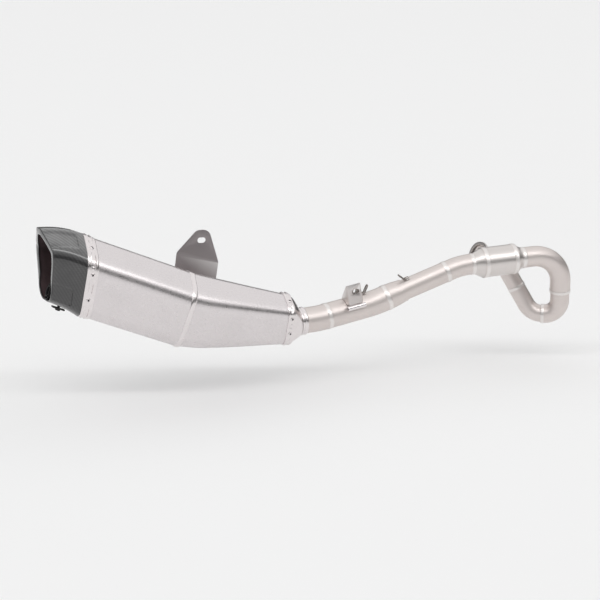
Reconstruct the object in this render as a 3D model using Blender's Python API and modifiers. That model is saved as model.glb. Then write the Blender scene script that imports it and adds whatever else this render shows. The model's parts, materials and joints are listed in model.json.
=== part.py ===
"""Racing exhaust system for a single-cylinder bike: header loop with an expansion chamber, slip joint,
link pipe, six-sided silencer with a carbon end cap, and the pull-out baffle inside its outlet.

Frame: origin at the centre of the exhaust port opening, +X forward, +Y inboard, +Z up, metres.
"""

import math

import bmesh
import bpy
from mathutils import Matrix, Vector

UP = Vector((0.0, 0.0, 1.0))

# Clearances, sheet and facets
GAP = 0.0003
RUNNING_GAP = 0.00006
WALL = 0.0012
TUBE_SIDES = 16
TURNED_SIDES = 20
SLIP_SIDES = 32
WIRE_SIDES = 8
BEND_STEP = math.radians(17)

# Header: outer radii, corners of its centre line and the radius of each bend
HEADER_R = 0.0175
HEADER_STEPS = (0.0150, 0.0150, 0.0163, 0.0175)
CHAMBER_R = 0.0254
PORT_R = 0.0250
PORT_BORE_R = 0.0205
PORT_LENGTH = 0.018
PORT_RIM = 0.004
PORT_NECK = 0.0018
HEADER_CORNERS = (
    Vector((0.0, 0.0, 0.0)),
    Vector((0.050, 0.016, -0.013)),
    Vector((0.0995, -0.0050, -0.1045)),
    Vector((0.1425, -0.0270, -0.1045)),
    Vector((0.1320, -0.0490, 0.0085)),
    Vector((-0.050, -0.050, -0.005)),
)
HEADER_BENDS = (0.045, 0.032, 0.027, 0.054, 0.120)
HEADER_WELD_FRACTIONS = (0.46, 0.5, 0.53)
COLLAR_X = 0.0602
CHAMBER_FRONT_X = 0.0430
CHAMBER_REAR_X = -0.0091
NECK_X = -0.0305

# Slip joint: distances run rearward from the last header corner, along an axis of this pitch
SLIP_PITCH = math.radians(20.5)
MID_WELD = 0.028
SLIP_MOUTH = 0.1068
SLIP_REAR = 0.1387
SPIGOT_END = 0.150
SOCKET_OUTER = ((0.0, 0.0188), (0.005, 0.0192), (0.012, 0.0202), (0.022, 0.0209), (0.0316, 0.0212))
SEAL_SPAN = (0.010, 0.027)

# Link pipe
LINK_R = 0.0212
LINK_CORNERS = (
    Vector((-0.200, -0.050, -0.0612)),
    Vector((-0.300, -0.0655, -0.0790)),
    Vector((-0.332, -0.0703, -0.0810)),
)
LINK_BENDS = (0.120, 0.150)
LINK_WELD = 0.014

# Silencer sections. Each is (fore-aft place, height of its middle, forward lean in degrees, width, height).
SILENCER_YAW = math.radians(9)
FRONT_BAND_FRONT = (-0.3555, -0.0738, 2.0, 0.073, 0.0800)
FRONT_BAND_REAR = (-0.3680, -0.0728, 3.5, 0.075, 0.0815)
KNEE = (-0.4920, -0.0520, 13.0, 0.097, 0.1110)
SEAM = (-0.5335, -0.0419, 15.9, 0.101, 0.1176)
REAR_BAND_FRONT = (-0.6790, 0.0185, 8.0, 0.103, 0.1215)
REAR_BAND_REAR = (-0.6950, 0.0252, 7.0, 0.103, 0.1230)
CAP_MIDDLE = (-0.7200, 0.0375, 4.0, 0.099, 0.1200)
CAP_RIM = (-0.7425, 0.0440, 1.0, 0.094, 0.1120)

# Shape of a section as shares of its width or height
TOP_HALF_WIDTH = 0.11
FOOT_HALF_WIDTH = 0.31
SHOULDER_DROP = 0.27
TOP_ROUND = 0.14
SHOULDER_ROUND = 0.17
FOOT_ROUND = 0.24
SECTION_STEPS = 3
FLAT_PARTS = (2, 1, 2, 5, 3, 5)

BAND_WALL = 0.0010
SEAM_HALF_WIDTH = 0.004
CAP_WALL = 0.0025
CAP_VISOR = 0.0085
CAP_RIM_CUT = math.radians(3)
SKIRT = 0.5
COLLAR_WALL = 0.0016
COLLAR_SPAN = (0.0060, 0.0050)
INLET_STEPS = ((0.0, 0.0015), (0.0045, 0.0020), (0.0090, 0.0060))

# Outlet, core and baffle: distances run forward from the outlet's end, along its axis
OUTLET_END = (-0.745, 0.0040)
OUTLET_PITCH = math.radians(22)
OUTLET_R = 0.0128
OUTLET_SPAN = (0.004, 0.056)
PLATE_SHARES = (0.20, 0.30)
CORE_R = 0.0165
CORE_WALL = 0.0010
CORE_START = 0.012
CORE_END = 0.058
CORE_CORNER = 0.090
CORE_BEND = 0.150
PACKING_GAP = 0.0026
PERFORATION_R = 0.003
PERFORATION_ROWS = 5
PERFORATION_SPAN = (0.15, 0.80)
PERFORATION_TURN = math.radians(45)
BAFFLE_R = OUTLET_R - WALL - RUNNING_GAP
BAFFLE_CUP_SPAN = (0.008, 0.042)
BAFFLE_PIPE_R = 0.0085
BAFFLE_PIPE_SPAN = (0.003, 0.100)
SCREW_PLACE = 0.0275
SCREW_R = 0.0022
SCREW_HEAD_R = 0.0042
SCREW_HEAD = 0.0022
BOSS_SPAN = (0.0192, 0.0216)
BOSS_LENGTH = 0.0200
BOSS_WIDTH = 0.0100
BOSS_EDGE = 0.0006

# Fasteners and small parts
RIVET_R = 0.0030
RIVET_HEIGHT = 0.0012
HOOK_WIRE_R = 0.0012
HOOK_HALF_WIDTH = 0.0026
HOOK_RISE = 0.0115
HOOK_LEG = 0.0085
HEADER_HOOK = 0.1012
HEADER_HOOK_TILT = math.radians(14)
LINK_HOOK_X = -0.2165
LINK_HOOK_TILT = math.radians(5)

# Frame bracket on the link pipe: along the pipe, then out from its middle
BRACKET_SHEET = 0.0020
BRACKET_X = -0.2425
BRACKET_HALF = 0.0110
BRACKET_FOOT = 0.0150
BRACKET_TOP = 0.0478
BRACKET_STAND = 0.0240
BRACKET_SADDLE_START = math.radians(92)
BRACKET_SADDLE_STEP = math.radians(11)
BRACKET_SADDLE_STEPS = 6
BRACKET_TAB = 0.002
BRACKET_SLOT = (0.0018, 0.0355)
BRACKET_SLOT_SIZE = (0.0130, 0.0075)
NUT_R = 0.0072
NUT_BORE_R = 0.0032
NUT_HEIGHT = 0.0055
FOOT_TUBE_R = 0.0042
FOOT_TUBE_BORE_R = 0.0025
FOOT_TUBE_HALF = 0.0160
FOOT_TUBE_PLACE = (0.0096, 0.0249)

# Hanger: the eye's centre, corners as forward and up from it, then the foot's reach from its crease
HANGER_SHEET = 0.0030
HANGER_EYE = (-0.4850, 0.0552)
HANGER_EYE_SIZE = (0.0140, 0.0092)
HANGER_SIDES = ((-0.0411, -0.0180), (-0.0073, 0.0165), (0.0125, 0.0165), (0.0273, -0.0370))
HANGER_CREASE = (-0.0245, 0.0455)
HANGER_FOOT = (-0.0205, 0.0400)
HANGER_FOOT_DEPTH = 0.0340
HANGER_ROUNDS = (0.008, 0.008, 0.004, 0.012, 0.0125, 0.0125, 0.010, 0.004)
HANGER_RIVETS = ((-0.0090, 0.0140), (0.0280, 0.0140), (0.0095, 0.0250))


# ---------------------------------------------------------------- scene, collections and materials


def clear_scene():
    for obj in list(bpy.data.objects):
        bpy.data.objects.remove(obj)


def new_collection(name):
    collection = bpy.data.collections.new(name)
    bpy.context.scene.collection.children.link(collection)
    return collection


def finish(name, colour, roughness, metallic):
    surface = bpy.data.materials.new(name)
    surface.use_nodes = True
    shader = surface.node_tree.nodes["Principled BSDF"]
    shader.inputs["Base Color"].default_value = (*colour, 1.0)
    shader.inputs["Roughness"].default_value = roughness
    shader.inputs["Metallic"].default_value = metallic
    return surface


clear_scene()
PARTS = new_collection("racing_exhaust")
CUTTERS = new_collection("cutters")
TUBE = finish("brushed_tube", (0.62, 0.57, 0.55), 0.32, 1.0)
CHAMBER = finish("brushed_chamber", (0.70, 0.67, 0.65), 0.25, 1.0)
SLEEVE = finish("brushed_sleeve", (0.72, 0.70, 0.70), 0.30, 1.0)
BAND = finish("satin_band", (0.76, 0.74, 0.73), 0.25, 1.0)
PLATE = finish("bracket_steel", (0.42, 0.39, 0.37), 0.42, 1.0)
WIRE = finish("hook_wire", (0.40, 0.38, 0.36), 0.35, 1.0)
CARBON = finish("carbon", (0.035, 0.036, 0.038), 0.30, 0.0)
BLACK = finish("black_steel", (0.03, 0.03, 0.032), 0.45, 0.6)
GRAPHITE = finish("graphite", (0.07, 0.07, 0.075), 0.70, 0.0)
WOOL = finish("glass_wool", (0.78, 0.74, 0.55), 0.95, 0.0)


# ---------------------------------------------------------------- modelling helpers


def add_node(name, data, surface, pivot=None):
    """A part's object, parented to the empty on its joint's axis if it moves."""
    data.materials.clear()
    data.materials.append(surface)
    obj = bpy.data.objects.new(name, data)
    PARTS.objects.link(obj)
    if pivot:
        obj.parent = pivot
        obj.matrix_parent_inverse = Matrix.Translation(pivot.location).inverted()
    return obj


def add_pivot(name, location):
    pivot = bpy.data.objects.new(name, None)
    pivot.location = location
    PARTS.objects.link(pivot)
    return pivot


def pointing(location, direction):
    """Placement that takes +Z to the direction."""
    return Matrix.Translation(location) @ direction.to_track_quat("Z", "Y").to_matrix().to_4x4()


def frame_at(location, forward, side, up):
    """Placement that takes +X, +Y and +Z to the three directions."""
    placement = Matrix((forward, side, up)).transposed().to_4x4()
    placement.translation = location
    return placement


def take_mesh(obj):
    """The object's evaluated mesh in world space with its loose caps welded; the object is removed."""
    bpy.context.view_layer.update()
    evaluated = obj.evaluated_get(bpy.context.evaluated_depsgraph_get())
    mesh = bpy.data.meshes.new_from_object(evaluated)
    mesh.transform(obj.matrix_world)
    bm = bmesh.new()
    bm.from_mesh(mesh)
    bmesh.ops.remove_doubles(bm, verts=bm.verts, dist=1e-6)
    bm.to_mesh(mesh)
    bm.free()
    bpy.data.objects.remove(obj)
    return mesh


def round_curve(name, points, radius, sides, caps):
    curve = bpy.data.curves.new(name, "CURVE")
    curve.dimensions = "3D"
    curve.bevel_depth = radius
    curve.bevel_resolution = sides // 2 - 2
    curve.use_fill_caps = caps
    spline = curve.splines.new("POLY")
    spline.points.add(len(points) - 1)
    for knot, point in zip(spline.points, points):
        knot.co = (*point, 1.0)
        knot.radius = 1.0
    return curve


def pipe(name, points, radius, surface, pivot=None, wall=WALL):
    """A hollow tube along the points, its wall inside the radius."""
    curve = round_curve(name, points, radius, TUBE_SIDES, False)
    mesh = take_mesh(add_node(name + "_skin", curve, surface))
    obj = add_node(name, mesh, surface, pivot)
    sheet = obj.modifiers.new("wall", "SOLIDIFY")
    sheet.thickness = wall
    sheet.offset = -1.0
    sheet.use_even_offset = True
    return obj


def turned(name, profile, placement, surface, pivot=None, sides=TURNED_SIDES, closed=True):
    """A turned part from (distance along the axis, radius) pairs that run down its outer side."""
    mesh = bpy.data.meshes.new(name)
    points = [(radius, 0.0, along) for along, radius in profile]
    edges = [(k, k + 1) for k in range(len(points) - 1)]
    if closed:
        edges.append((len(points) - 1, 0))
    mesh.from_pydata(points, edges, [])
    obj = add_node(name, mesh, surface, pivot)
    obj.matrix_basis = placement
    screw = obj.modifiers.new("turn", "SCREW")
    screw.steps = sides
    screw.render_steps = sides
    screw.use_merge_vertices = True
    screw.merge_threshold = 1e-6
    screw.use_smooth_shade = True
    return obj


def sheet_profile(outer, wall):
    """Profile of a turned shell: its outer pairs, then the same line one wall further in."""
    return [*outer, *((along, radius - wall) for along, radius in reversed(outer))]


def band_profile(top, bottom, outer, inner):
    return [(top, outer), (bottom, outer), (bottom, inner), (top, inner)]


def shell(name, outer, inner, surface, pivot=None):
    """A closed wall between two lists of section rings, for lofts between unlike sections."""
    rings = [*outer, *reversed(inner)]
    bm = bmesh.new()
    rows = [[bm.verts.new(point) for point in ring] for ring in rings]
    for row, after in zip(rows, rows[1:] + rows[:1]):
        for k in range(len(row)):
            following = (k + 1) % len(row)
            bm.faces.new((row[k], row[following], after[following], after[k]))
    bmesh.ops.recalc_face_normals(bm, faces=bm.faces)
    mesh = bpy.data.meshes.new(name)
    bm.to_mesh(mesh)
    bm.free()
    mesh.shade_smooth()
    mesh.set_sharp_from_angle(angle=math.radians(35))
    return add_node(name, mesh, surface, pivot)


def flat_outline(name, outlines):
    """A filled flat sheet from its outline and its holes."""
    curve = bpy.data.curves.new(name, "CURVE")
    curve.dimensions = "2D"
    curve.fill_mode = "BOTH"
    for outline in outlines:
        spline = curve.splines.new("POLY")
        spline.points.add(len(outline) - 1)
        for knot, (across, high) in zip(spline.points, outline):
            knot.co = (across, high, 0.0, 1.0)
        spline.use_cyclic_u = True
    return curve


def fold(mesh, corner, crease, angle):
    """Bends the sheet about the crease line: all that lies on its left side turns by the angle."""
    aside = UP.cross(crease)
    bm = bmesh.new()
    bm.from_mesh(mesh)
    geometry = [*bm.verts, *bm.edges, *bm.faces]
    bmesh.ops.bisect_plane(bm, geom=geometry, dist=1e-6, plane_co=corner, plane_no=aside)
    moved = [vert for vert in bm.verts if (vert.co - corner).dot(aside) > 1e-6]
    turn = Matrix.Rotation(angle, 3, crease)
    bmesh.ops.rotate(bm, verts=moved, cent=corner, matrix=turn)
    bm.to_mesh(mesh)
    bm.free()


def sheet_part(name, outlines, folds, placement, thickness, surface, pivot):
    """A bracket cut from flat sheet, folded, then given its thickness."""
    mesh = take_mesh(add_node(name + "_blank", flat_outline(name, outlines), surface))
    for corner, crease, angle in folds:
        fold(mesh, Vector(corner), Vector(crease), angle)
    obj = add_node(name, mesh, surface, pivot)
    obj.matrix_basis = placement
    sheet = obj.modifiers.new("sheet", "SOLIDIFY")
    sheet.thickness = thickness
    sheet.offset = 1.0
    sheet.use_even_offset = True
    return obj


def cut(obj, cutter):
    cutter.hide_render = True
    cutter.display_type = "WIRE"
    PARTS.objects.unlink(cutter)
    CUTTERS.objects.link(cutter)
    boolean = obj.modifiers.new("cut", "BOOLEAN")
    boolean.operation = "DIFFERENCE"
    boolean.object = cutter


def drill(name, location, direction, radius, length, sides):
    """A round cutter centred on the location."""
    half = length / 2
    profile = [(half, 0.0), (half, radius), (-half, radius), (-half, 0.0)]
    return turned(name, profile, pointing(location, direction), BLACK, None, sides, False)


# ---------------------------------------------------------------- geometry helpers


def bend(start, corner, end, radius):
    """Points from start to end with the corner between them rounded to the radius."""
    back = (start - corner).normalized()
    ahead = (end - corner).normalized()
    half = back.angle(ahead) / 2
    centre = corner + (back + ahead).normalized() * radius / math.sin(half)
    first = corner + back * radius / math.tan(half) - centre
    last = corner + ahead * radius / math.tan(half) - centre
    turn = math.pi - 2 * half
    steps = max(2, math.ceil(turn / BEND_STEP))
    axis = first.cross(last).normalized()
    arc = [centre + Matrix.Rotation(turn * k / steps, 3, axis) @ first for k in range(steps + 1)]
    return [start, *arc, end]


def bend_reach(before, corner, after, radius):
    """Distance from a corner to where its bend starts."""
    return radius / math.tan((before - corner).angle(after - corner) / 2)


def toward(start, end, distance):
    return start + (end - start).normalized() * distance


def at_x(start, end, x):
    return start.lerp(end, (x - start.x) / (end.x - start.x))


def rounded_outline(corners, radii, steps, inset=0.0):
    """Anticlockwise convex outline with rounded corners, moved in by the inset: a list of arcs."""
    arcs = []
    for k, corner in enumerate(corners):
        back = (corners[k - 1] - corner).normalized()
        ahead = (corners[(k + 1) % len(corners)] - corner).normalized()
        half = back.angle(ahead) / 2
        centre = corner + (back + ahead).normalized() * radii[k] / math.sin(half)
        arm = (corner + back * radii[k] / math.tan(half) - centre).normalized()
        turns = [Matrix.Rotation((math.pi - 2 * half) * step / steps, 2) for step in range(steps + 1)]
        arcs.append([centre + turn @ arm * (radii[k] - inset) for turn in turns])
    return arcs


def with_flats(arcs, parts):
    """One ring of the arcs' points, with each flat between two arcs divided into parts."""
    ring = []
    for k, arc in enumerate(arcs):
        after = arcs[(k + 1) % len(arcs)][0]
        ring += arc
        ring += [arc[-1].lerp(after, part / parts[k]) for part in range(1, parts[k])]
    return ring


def slot_outline(middle, width, height, steps):
    """A hole with round ends, wide along the sheet."""
    reach = (width - height) / 2
    points = []
    for side in (1, -1):
        for step in range(steps + 1):
            angle = math.pi * (step / steps - 0.5)
            across = middle[0] + side * (reach + math.cos(angle) * height / 2)
            points.append((across, middle[1] + side * math.sin(angle) * height / 2))
    return points


# ---------------------------------------------------------------- silencer frame

TAILWARD = Vector((-math.cos(SILENCER_YAW), -math.sin(SILENCER_YAW), 0.0))
OUTBOARD = Vector((math.sin(SILENCER_YAW), -math.cos(SILENCER_YAW), 0.0))
INLET = LINK_CORNERS[-1]


def on_silencer(x, z):
    """Point of the silencer's middle plane."""
    return Vector((x, INLET.y + (x - INLET.x) * math.tan(SILENCER_YAW), z))


def mix_stations(first, second, share):
    return tuple(a + (b - a) * share for a, b in zip(first, second))


def section(station, inset=0.0, slip=0.0):
    """Ring of points round the silencer at a station, moved in by the inset and tailward by the slip."""
    x, z, lean, width, height = station
    top = height / 2
    shoulder = top - SHOULDER_DROP * height
    half = [
        Vector((width / 2, shoulder)),
        Vector((TOP_HALF_WIDTH * width, top)),
    ]
    foot = Vector((FOOT_HALF_WIDTH * width, -top))
    corners = [*half, *(Vector((-c.x, c.y)) for c in reversed(half)), Vector((-foot.x, foot.y)), foot]
    shares = (SHOULDER_ROUND, TOP_ROUND, TOP_ROUND, SHOULDER_ROUND, FOOT_ROUND, FOOT_ROUND)
    radii = [share * width for share in shares]
    centre = on_silencer(x, z) + TAILWARD * slip
    rise = UP * math.cos(math.radians(lean)) - TAILWARD * math.sin(math.radians(lean))
    outline = with_flats(rounded_outline(corners, radii, SECTION_STEPS, inset), FLAT_PARTS)
    return [centre + OUTBOARD * point.x + rise * point.y for point in outline]


def mix_rings(first, second, share):
    return [a.lerp(b, share) for a, b in zip(first, second)]


def circle_like(ring, centre, axis, radius):
    """Circle square to the axis whose points face those of the ring."""
    arms = [(point - centre) - axis * (point - centre).dot(axis) for point in ring]
    return [centre + arm.normalized() * radius for arm in arms]


def pull_top(ring, amount):
    """Draws the part of a ring above its shoulders tailward, most at the top."""
    highest = max(point.z for point in ring)
    lowest = min(point.z for point in ring)
    shoulder = highest - SHOULDER_DROP * (highest - lowest)
    share = [max(0.0, (point.z - shoulder) / (highest - shoulder)) for point in ring]
    return [point + TAILWARD * amount * part for point, part in zip(ring, share)]


def cap_rim(inset=0.0):
    """Ring of the cap's rim: its top drawn tailward and its plane cut back towards the outboard side."""
    ring = pull_top(section(CAP_RIM, inset), CAP_VISOR)
    outermost = max(point.dot(OUTBOARD) for point in ring)
    return [point + TAILWARD * (outermost - point.dot(OUTBOARD)) * math.tan(CAP_RIM_CUT) for point in ring]


def flat_middle(ring, corner, share):
    """Point on the flat that follows a corner of the section."""
    last_of_arc = corner * SECTION_STEPS + sum(FLAT_PARTS[:corner]) + SECTION_STEPS
    return ring[last_of_arc].lerp(ring[(last_of_arc + FLAT_PARTS[corner]) % len(ring)], share)


# ---------------------------------------------------------------- header


def build_port():
    heading = (HEADER_CORNERS[1] - HEADER_CORNERS[0]).normalized()
    tube = HEADER_STEPS[0]
    neck = tube + PORT_NECK
    outer = [
        (0.0, PORT_R),
        (-PORT_RIM, PORT_R),
        (-PORT_RIM * 1.4, PORT_R - PORT_NECK),
        (-PORT_LENGTH * 0.67, neck),
        (-PORT_LENGTH + GAP, tube),
    ]
    inner = [
        (-PORT_LENGTH + GAP, tube - WALL),
        (-PORT_LENGTH * 0.67, neck - WALL),
        (-PORT_RIM * 1.5, PORT_BORE_R),
        (0.0, PORT_BORE_R),
    ]
    turned("port_collar", [*outer, *inner], pointing(HEADER_CORNERS[0], -heading), CHAMBER)


def build_header_tubes():
    corners = HEADER_CORNERS
    reach = [bend_reach(*corners[k - 1 : k + 2], HEADER_BENDS[k - 1]) for k in range(1, 5)]
    welds = []
    for k, share in enumerate(HEADER_WELD_FRACTIONS):
        leave = toward(corners[k + 1], corners[k + 2], reach[k])
        meet = toward(corners[k + 2], corners[k + 1], reach[k + 1])
        welds.append(leave.lerp(meet, share))
    collar = at_x(corners[4], corners[5], COLLAR_X)
    starts = [toward(corners[0], corners[1], PORT_LENGTH), *welds]
    ends = [*welds, collar]
    for k, (start, end) in enumerate(zip(starts, ends)):
        corner = corners[k + 1]
        points = bend(toward(start, corner, GAP / 2), corner, toward(end, corner, GAP / 2), HEADER_BENDS[k])
        pipe(f"header_tube_{k + 1}", points, HEADER_STEPS[k], TUBE)


def build_chamber():
    front = at_x(*HEADER_CORNERS[4:6], CHAMBER_FRONT_X)
    forward = (HEADER_CORNERS[4] - HEADER_CORNERS[5]).normalized()
    collar = (COLLAR_X - CHAMBER_FRONT_X) / forward.x
    rear = (CHAMBER_REAR_X - CHAMBER_FRONT_X) / forward.x
    neck = (NECK_X - CHAMBER_FRONT_X) / forward.x
    placement = pointing(front, forward)
    step = CHAMBER_R - HEADER_R
    front_cone = [
        (collar - GAP / 2, HEADER_R),
        (collar * 0.72, HEADER_R + 0.10 * step),
        (collar * 0.30, HEADER_R + 0.80 * step),
        (GAP / 2, CHAMBER_R),
    ]
    turned("chamber_front_cone", sheet_profile(front_cone, WALL), placement, CHAMBER)
    body = band_profile(-GAP / 2, rear + GAP / 2, CHAMBER_R, CHAMBER_R - WALL)
    turned("chamber_body", body, placement, CHAMBER)
    run = rear - neck
    rear_cone = [
        (rear - GAP / 2, CHAMBER_R),
        (rear - run * 0.25, HEADER_R + 0.90 * step),
        (rear - run * 0.80, HEADER_R + 0.12 * step),
        (neck + GAP / 2, HEADER_R),
    ]
    turned("chamber_rear_cone", sheet_profile(rear_cone, WALL), placement, CHAMBER)


SLIP_START = HEADER_CORNERS[5]
SLIP_BACK = Vector((-math.cos(SLIP_PITCH), 0.0, -math.sin(SLIP_PITCH)))


def on_slip(distance):
    return SLIP_START + SLIP_BACK * distance


def build_mid_pipe():
    neck = at_x(*HEADER_CORNERS[4:6], NECK_X)
    weld = on_slip(MID_WELD)
    points = bend(toward(neck, SLIP_START, GAP / 2), SLIP_START, on_slip(MID_WELD - GAP / 2), HEADER_BENDS[4])
    pipe("mid_tube_1", points, HEADER_R, TUBE)
    profile = band_profile(-GAP / 2, MID_WELD - SPIGOT_END, HEADER_R, HEADER_R - WALL)
    turned("mid_tube_2", profile, pointing(weld, -SLIP_BACK), TUBE, None, SLIP_SIDES)


# ---------------------------------------------------------------- spring hooks


def build_hook(name, place, forward, radius, tilt, lean, pivot):
    """A bent wire hook: two legs along the pipe that rise into a loop. Tilt turns it round the pipe."""
    side = forward.cross(UP).normalized()
    out = Matrix.Rotation(tilt, 3, forward) @ side.cross(forward)
    across = out.cross(forward)
    base = radius + GAP + HOOK_WIRE_R
    half = HOOK_HALF_WIDTH
    leg = HOOK_LEG * lean
    path = [
        (leg, 0.0, half),
        (0.0, 0.0, half),
        (-leg * 0.20, HOOK_RISE * 0.30, half),
        (-leg * 0.70, HOOK_RISE * 0.85, half),
        (-leg * 0.82, HOOK_RISE, half * 0.45),
        (-leg * 0.82, HOOK_RISE, -half * 0.45),
        (-leg * 0.70, HOOK_RISE * 0.85, -half),
        (-leg * 0.20, HOOK_RISE * 0.30, -half),
        (0.0, 0.0, -half),
        (leg, 0.0, -half),
    ]
    points = [place + forward * a + out * (base + o) + across * c for a, o, c in path]
    add_node(name, round_curve(name, points, HOOK_WIRE_R, WIRE_SIDES, True), WIRE, pivot)


# ---------------------------------------------------------------- slip joint and link pipe


def socket_radius(distance):
    """Outer radius of the reducer at a distance behind its mouth."""
    for (near, first), (far, second) in zip(SOCKET_OUTER, SOCKET_OUTER[1:]):
        if distance <= far:
            return first + (second - first) * (distance - near) / (far - near)
    return SOCKET_OUTER[-1][1]


def build_slip_joint(pivot, seal_pivot):
    facet = math.cos(math.pi / SLIP_SIDES)
    placement = pointing(on_slip(SLIP_MOUTH), -SLIP_BACK)
    outer = [(-distance, radius) for distance, radius in SOCKET_OUTER]
    bore = (HEADER_R + RUNNING_GAP * 2) / facet
    inner = [(along, max(bore, radius - WALL)) for along, radius in reversed(outer)]
    turned("slip_reducer", [*outer, *inner], placement, TUBE, pivot, SLIP_SIDES)
    stations = [SEAL_SPAN[0], SOCKET_OUTER[2][0], SOCKET_OUTER[3][0], SEAL_SPAN[1]]
    seal = [(-d, (socket_radius(d) - WALL) * facet - RUNNING_GAP) for d in stations]
    seal_bore = (HEADER_R + RUNNING_GAP) / facet
    seal += [(-SEAL_SPAN[1], seal_bore), (-SEAL_SPAN[0], seal_bore)]
    turned("slip_seal", seal, placement, GRAPHITE, seal_pivot, SLIP_SIDES)


def build_link_pipe(pivot):
    first, second, end = LINK_CORNERS
    start = on_slip(SLIP_REAR)
    weld = toward(second, first, LINK_WELD)
    before = bend(toward(start, first, GAP / 2), first, toward(weld, first, GAP / 2), LINK_BENDS[0])
    after = bend(toward(weld, second, GAP / 2), second, end, LINK_BENDS[1])
    pipe("link_tube_1", before, LINK_R, TUBE, pivot)
    pipe("link_tube_2", after, LINK_R, TUBE, pivot)


def build_frame_bracket(pivot):
    """Folded sheet bracket with its captive nut and a threaded tube at its foot."""
    first, second = LINK_CORNERS[:2]
    forward = (first - second).normalized()
    side = forward.cross(UP).normalized()
    rise = side.cross(forward)
    base = at_x(first, second, BRACKET_X)
    saddle = LINK_R + GAP * 2
    back = BRACKET_HALF + BRACKET_STAND
    angles = [BRACKET_SADDLE_START - BRACKET_SADDLE_STEP * step for step in range(BRACKET_SADDLE_STEPS)]
    arc = [(back - saddle * math.cos(angle), saddle * math.sin(angle)) for angle in angles]
    arc = [point for point in arc if point[1] >= BRACKET_FOOT]
    tab = (arc[0][0], arc[0][1] + BRACKET_TAB)
    right = [(BRACKET_HALF, BRACKET_FOOT), *reversed(arc), tab, (BRACKET_HALF, BRACKET_TOP)]
    left = [(-along, high) for along, high in reversed(right)]
    slot = slot_outline(BRACKET_SLOT, *BRACKET_SLOT_SIZE, 5)
    creases = [
        ((BRACKET_HALF, 0.0, 0.0), (0.0, -1.0, 0.0), -math.pi / 2),
        ((-BRACKET_HALF, 0.0, 0.0), (0.0, 1.0, 0.0), -math.pi / 2),
    ]
    placement = frame_at(base + side * BRACKET_STAND, forward, rise, side)
    outlines = [[*right, *left], slot]
    sheet_part("frame_bracket", outlines, creases, placement, BRACKET_SHEET, PLATE, pivot)
    along, high = BRACKET_SLOT
    seat = base + forward * along + rise * high + side * (BRACKET_STAND - GAP)
    nut = band_profile(0.0, -NUT_HEIGHT, NUT_R, NUT_BORE_R)
    turned("frame_bracket_nut", nut, pointing(seat, side), BAND, pivot, 6)
    high, stand = FOOT_TUBE_PLACE
    foot = band_profile(FOOT_TUBE_HALF, -FOOT_TUBE_HALF, FOOT_TUBE_R, FOOT_TUBE_BORE_R)
    turned("frame_bracket_tube", foot, pointing(base + side * stand + rise * high, forward), BAND, pivot, 12)


# ---------------------------------------------------------------- silencer


def build_inlet(pivot):
    axis = (LINK_CORNERS[2] - LINK_CORNERS[1]).normalized()
    ahead, behind = COLLAR_SPAN
    collar = band_profile(ahead, -behind, LINK_R + GAP + COLLAR_WALL, LINK_R + GAP)
    turned("inlet_collar", collar, pointing(INLET, -axis), BAND, pivot)
    skirt_inset = WALL + GAP
    face = section(FRONT_BAND_FRONT)
    start = INLET + axis * (behind + GAP)
    outer = []
    inner = []
    for along, step in INLET_STEPS:
        outer.append(circle_like(face, start + axis * along, axis, LINK_R + step))
        inner.append(circle_like(face, start + axis * along, axis, LINK_R + step - WALL))
    skirt_end = mix_stations(FRONT_BAND_FRONT, FRONT_BAND_REAR, SKIRT)
    outer += [face, section(FRONT_BAND_FRONT, skirt_inset), section(skirt_end, skirt_inset)]
    inner += [section(FRONT_BAND_FRONT, skirt_inset + WALL), section(skirt_end, skirt_inset + WALL)]
    shell("inlet_cap", outer, inner, BAND, pivot)


def sleeve_rings(stations, inset, first_slip, last_slip):
    rings = [section(station, inset) for station in stations]
    rings[0] = section(stations[0], inset, first_slip)
    rings[-1] = section(stations[-1], inset, last_slip)
    return rings


def build_sleeves(pivot):
    front = (FRONT_BAND_FRONT, FRONT_BAND_REAR, KNEE, SEAM)
    rear = (SEAM, REAR_BAND_FRONT, REAR_BAND_REAR)
    for name, stations in (("sleeve_front", front), ("sleeve_rear", rear)):
        outer = sleeve_rings(stations, 0.0, GAP / 2, -GAP / 2)
        inner = sleeve_rings(stations, WALL, GAP / 2, -GAP / 2)
        shell(name, outer, inner, SLEEVE, pivot)
    ahead = SEAM_HALF_WIDTH / (KNEE[0] - SEAM[0])
    behind = SEAM_HALF_WIDTH / (SEAM[0] - REAR_BAND_FRONT[0])
    strip = []
    for inset in (-GAP - BAND_WALL, -GAP):
        knee, seam, tail = (section(station, inset) for station in (KNEE, SEAM, REAR_BAND_FRONT))
        strip.append([mix_rings(seam, knee, ahead), seam, mix_rings(seam, tail, behind)])
    shell("sleeve_seam", strip[0], strip[1], BAND, pivot)


def build_rivet(name, seat, normal, pivot):
    dome = [
        (RIVET_HEIGHT, 0.0),
        (RIVET_HEIGHT, RIVET_R * 0.5),
        (RIVET_HEIGHT * 0.4, RIVET_R),
        (0.0, RIVET_R),
        (0.0, 0.0),
    ]
    turned(name, dome, pointing(seat + normal * GAP * 2, normal), PLATE, pivot, 8, False)


def build_band(name, first, second, pivot):
    """A clamping band round the sleeve's end, and the rivets through it."""
    outer = [section(station, -GAP - BAND_WALL) for station in (first, second)]
    inner = [section(station, -GAP) for station in (first, second)]
    shell(name, outer, inner, BAND, pivot)
    middle = mix_rings(outer[0], outer[1], 0.5)
    along = (outer[1][0] - outer[0][0]).normalized()
    places = ((0, 0.5), (2, 0.5), (3, 0.12), (3, 0.80), (4, 0.5), (5, 0.20), (5, 0.88))
    for number, (corner, share) in enumerate(places, 1):
        point = flat_middle(middle, corner, share)
        run = flat_middle(middle, corner, share + 0.05) - point
        normal = run.cross(along).normalized()
        if normal.dot(point - sum(middle, Vector()) / len(middle)) < 0:
            normal.negate()
        build_rivet(f"{name}_rivet_{number}", point, normal, pivot)


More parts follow.
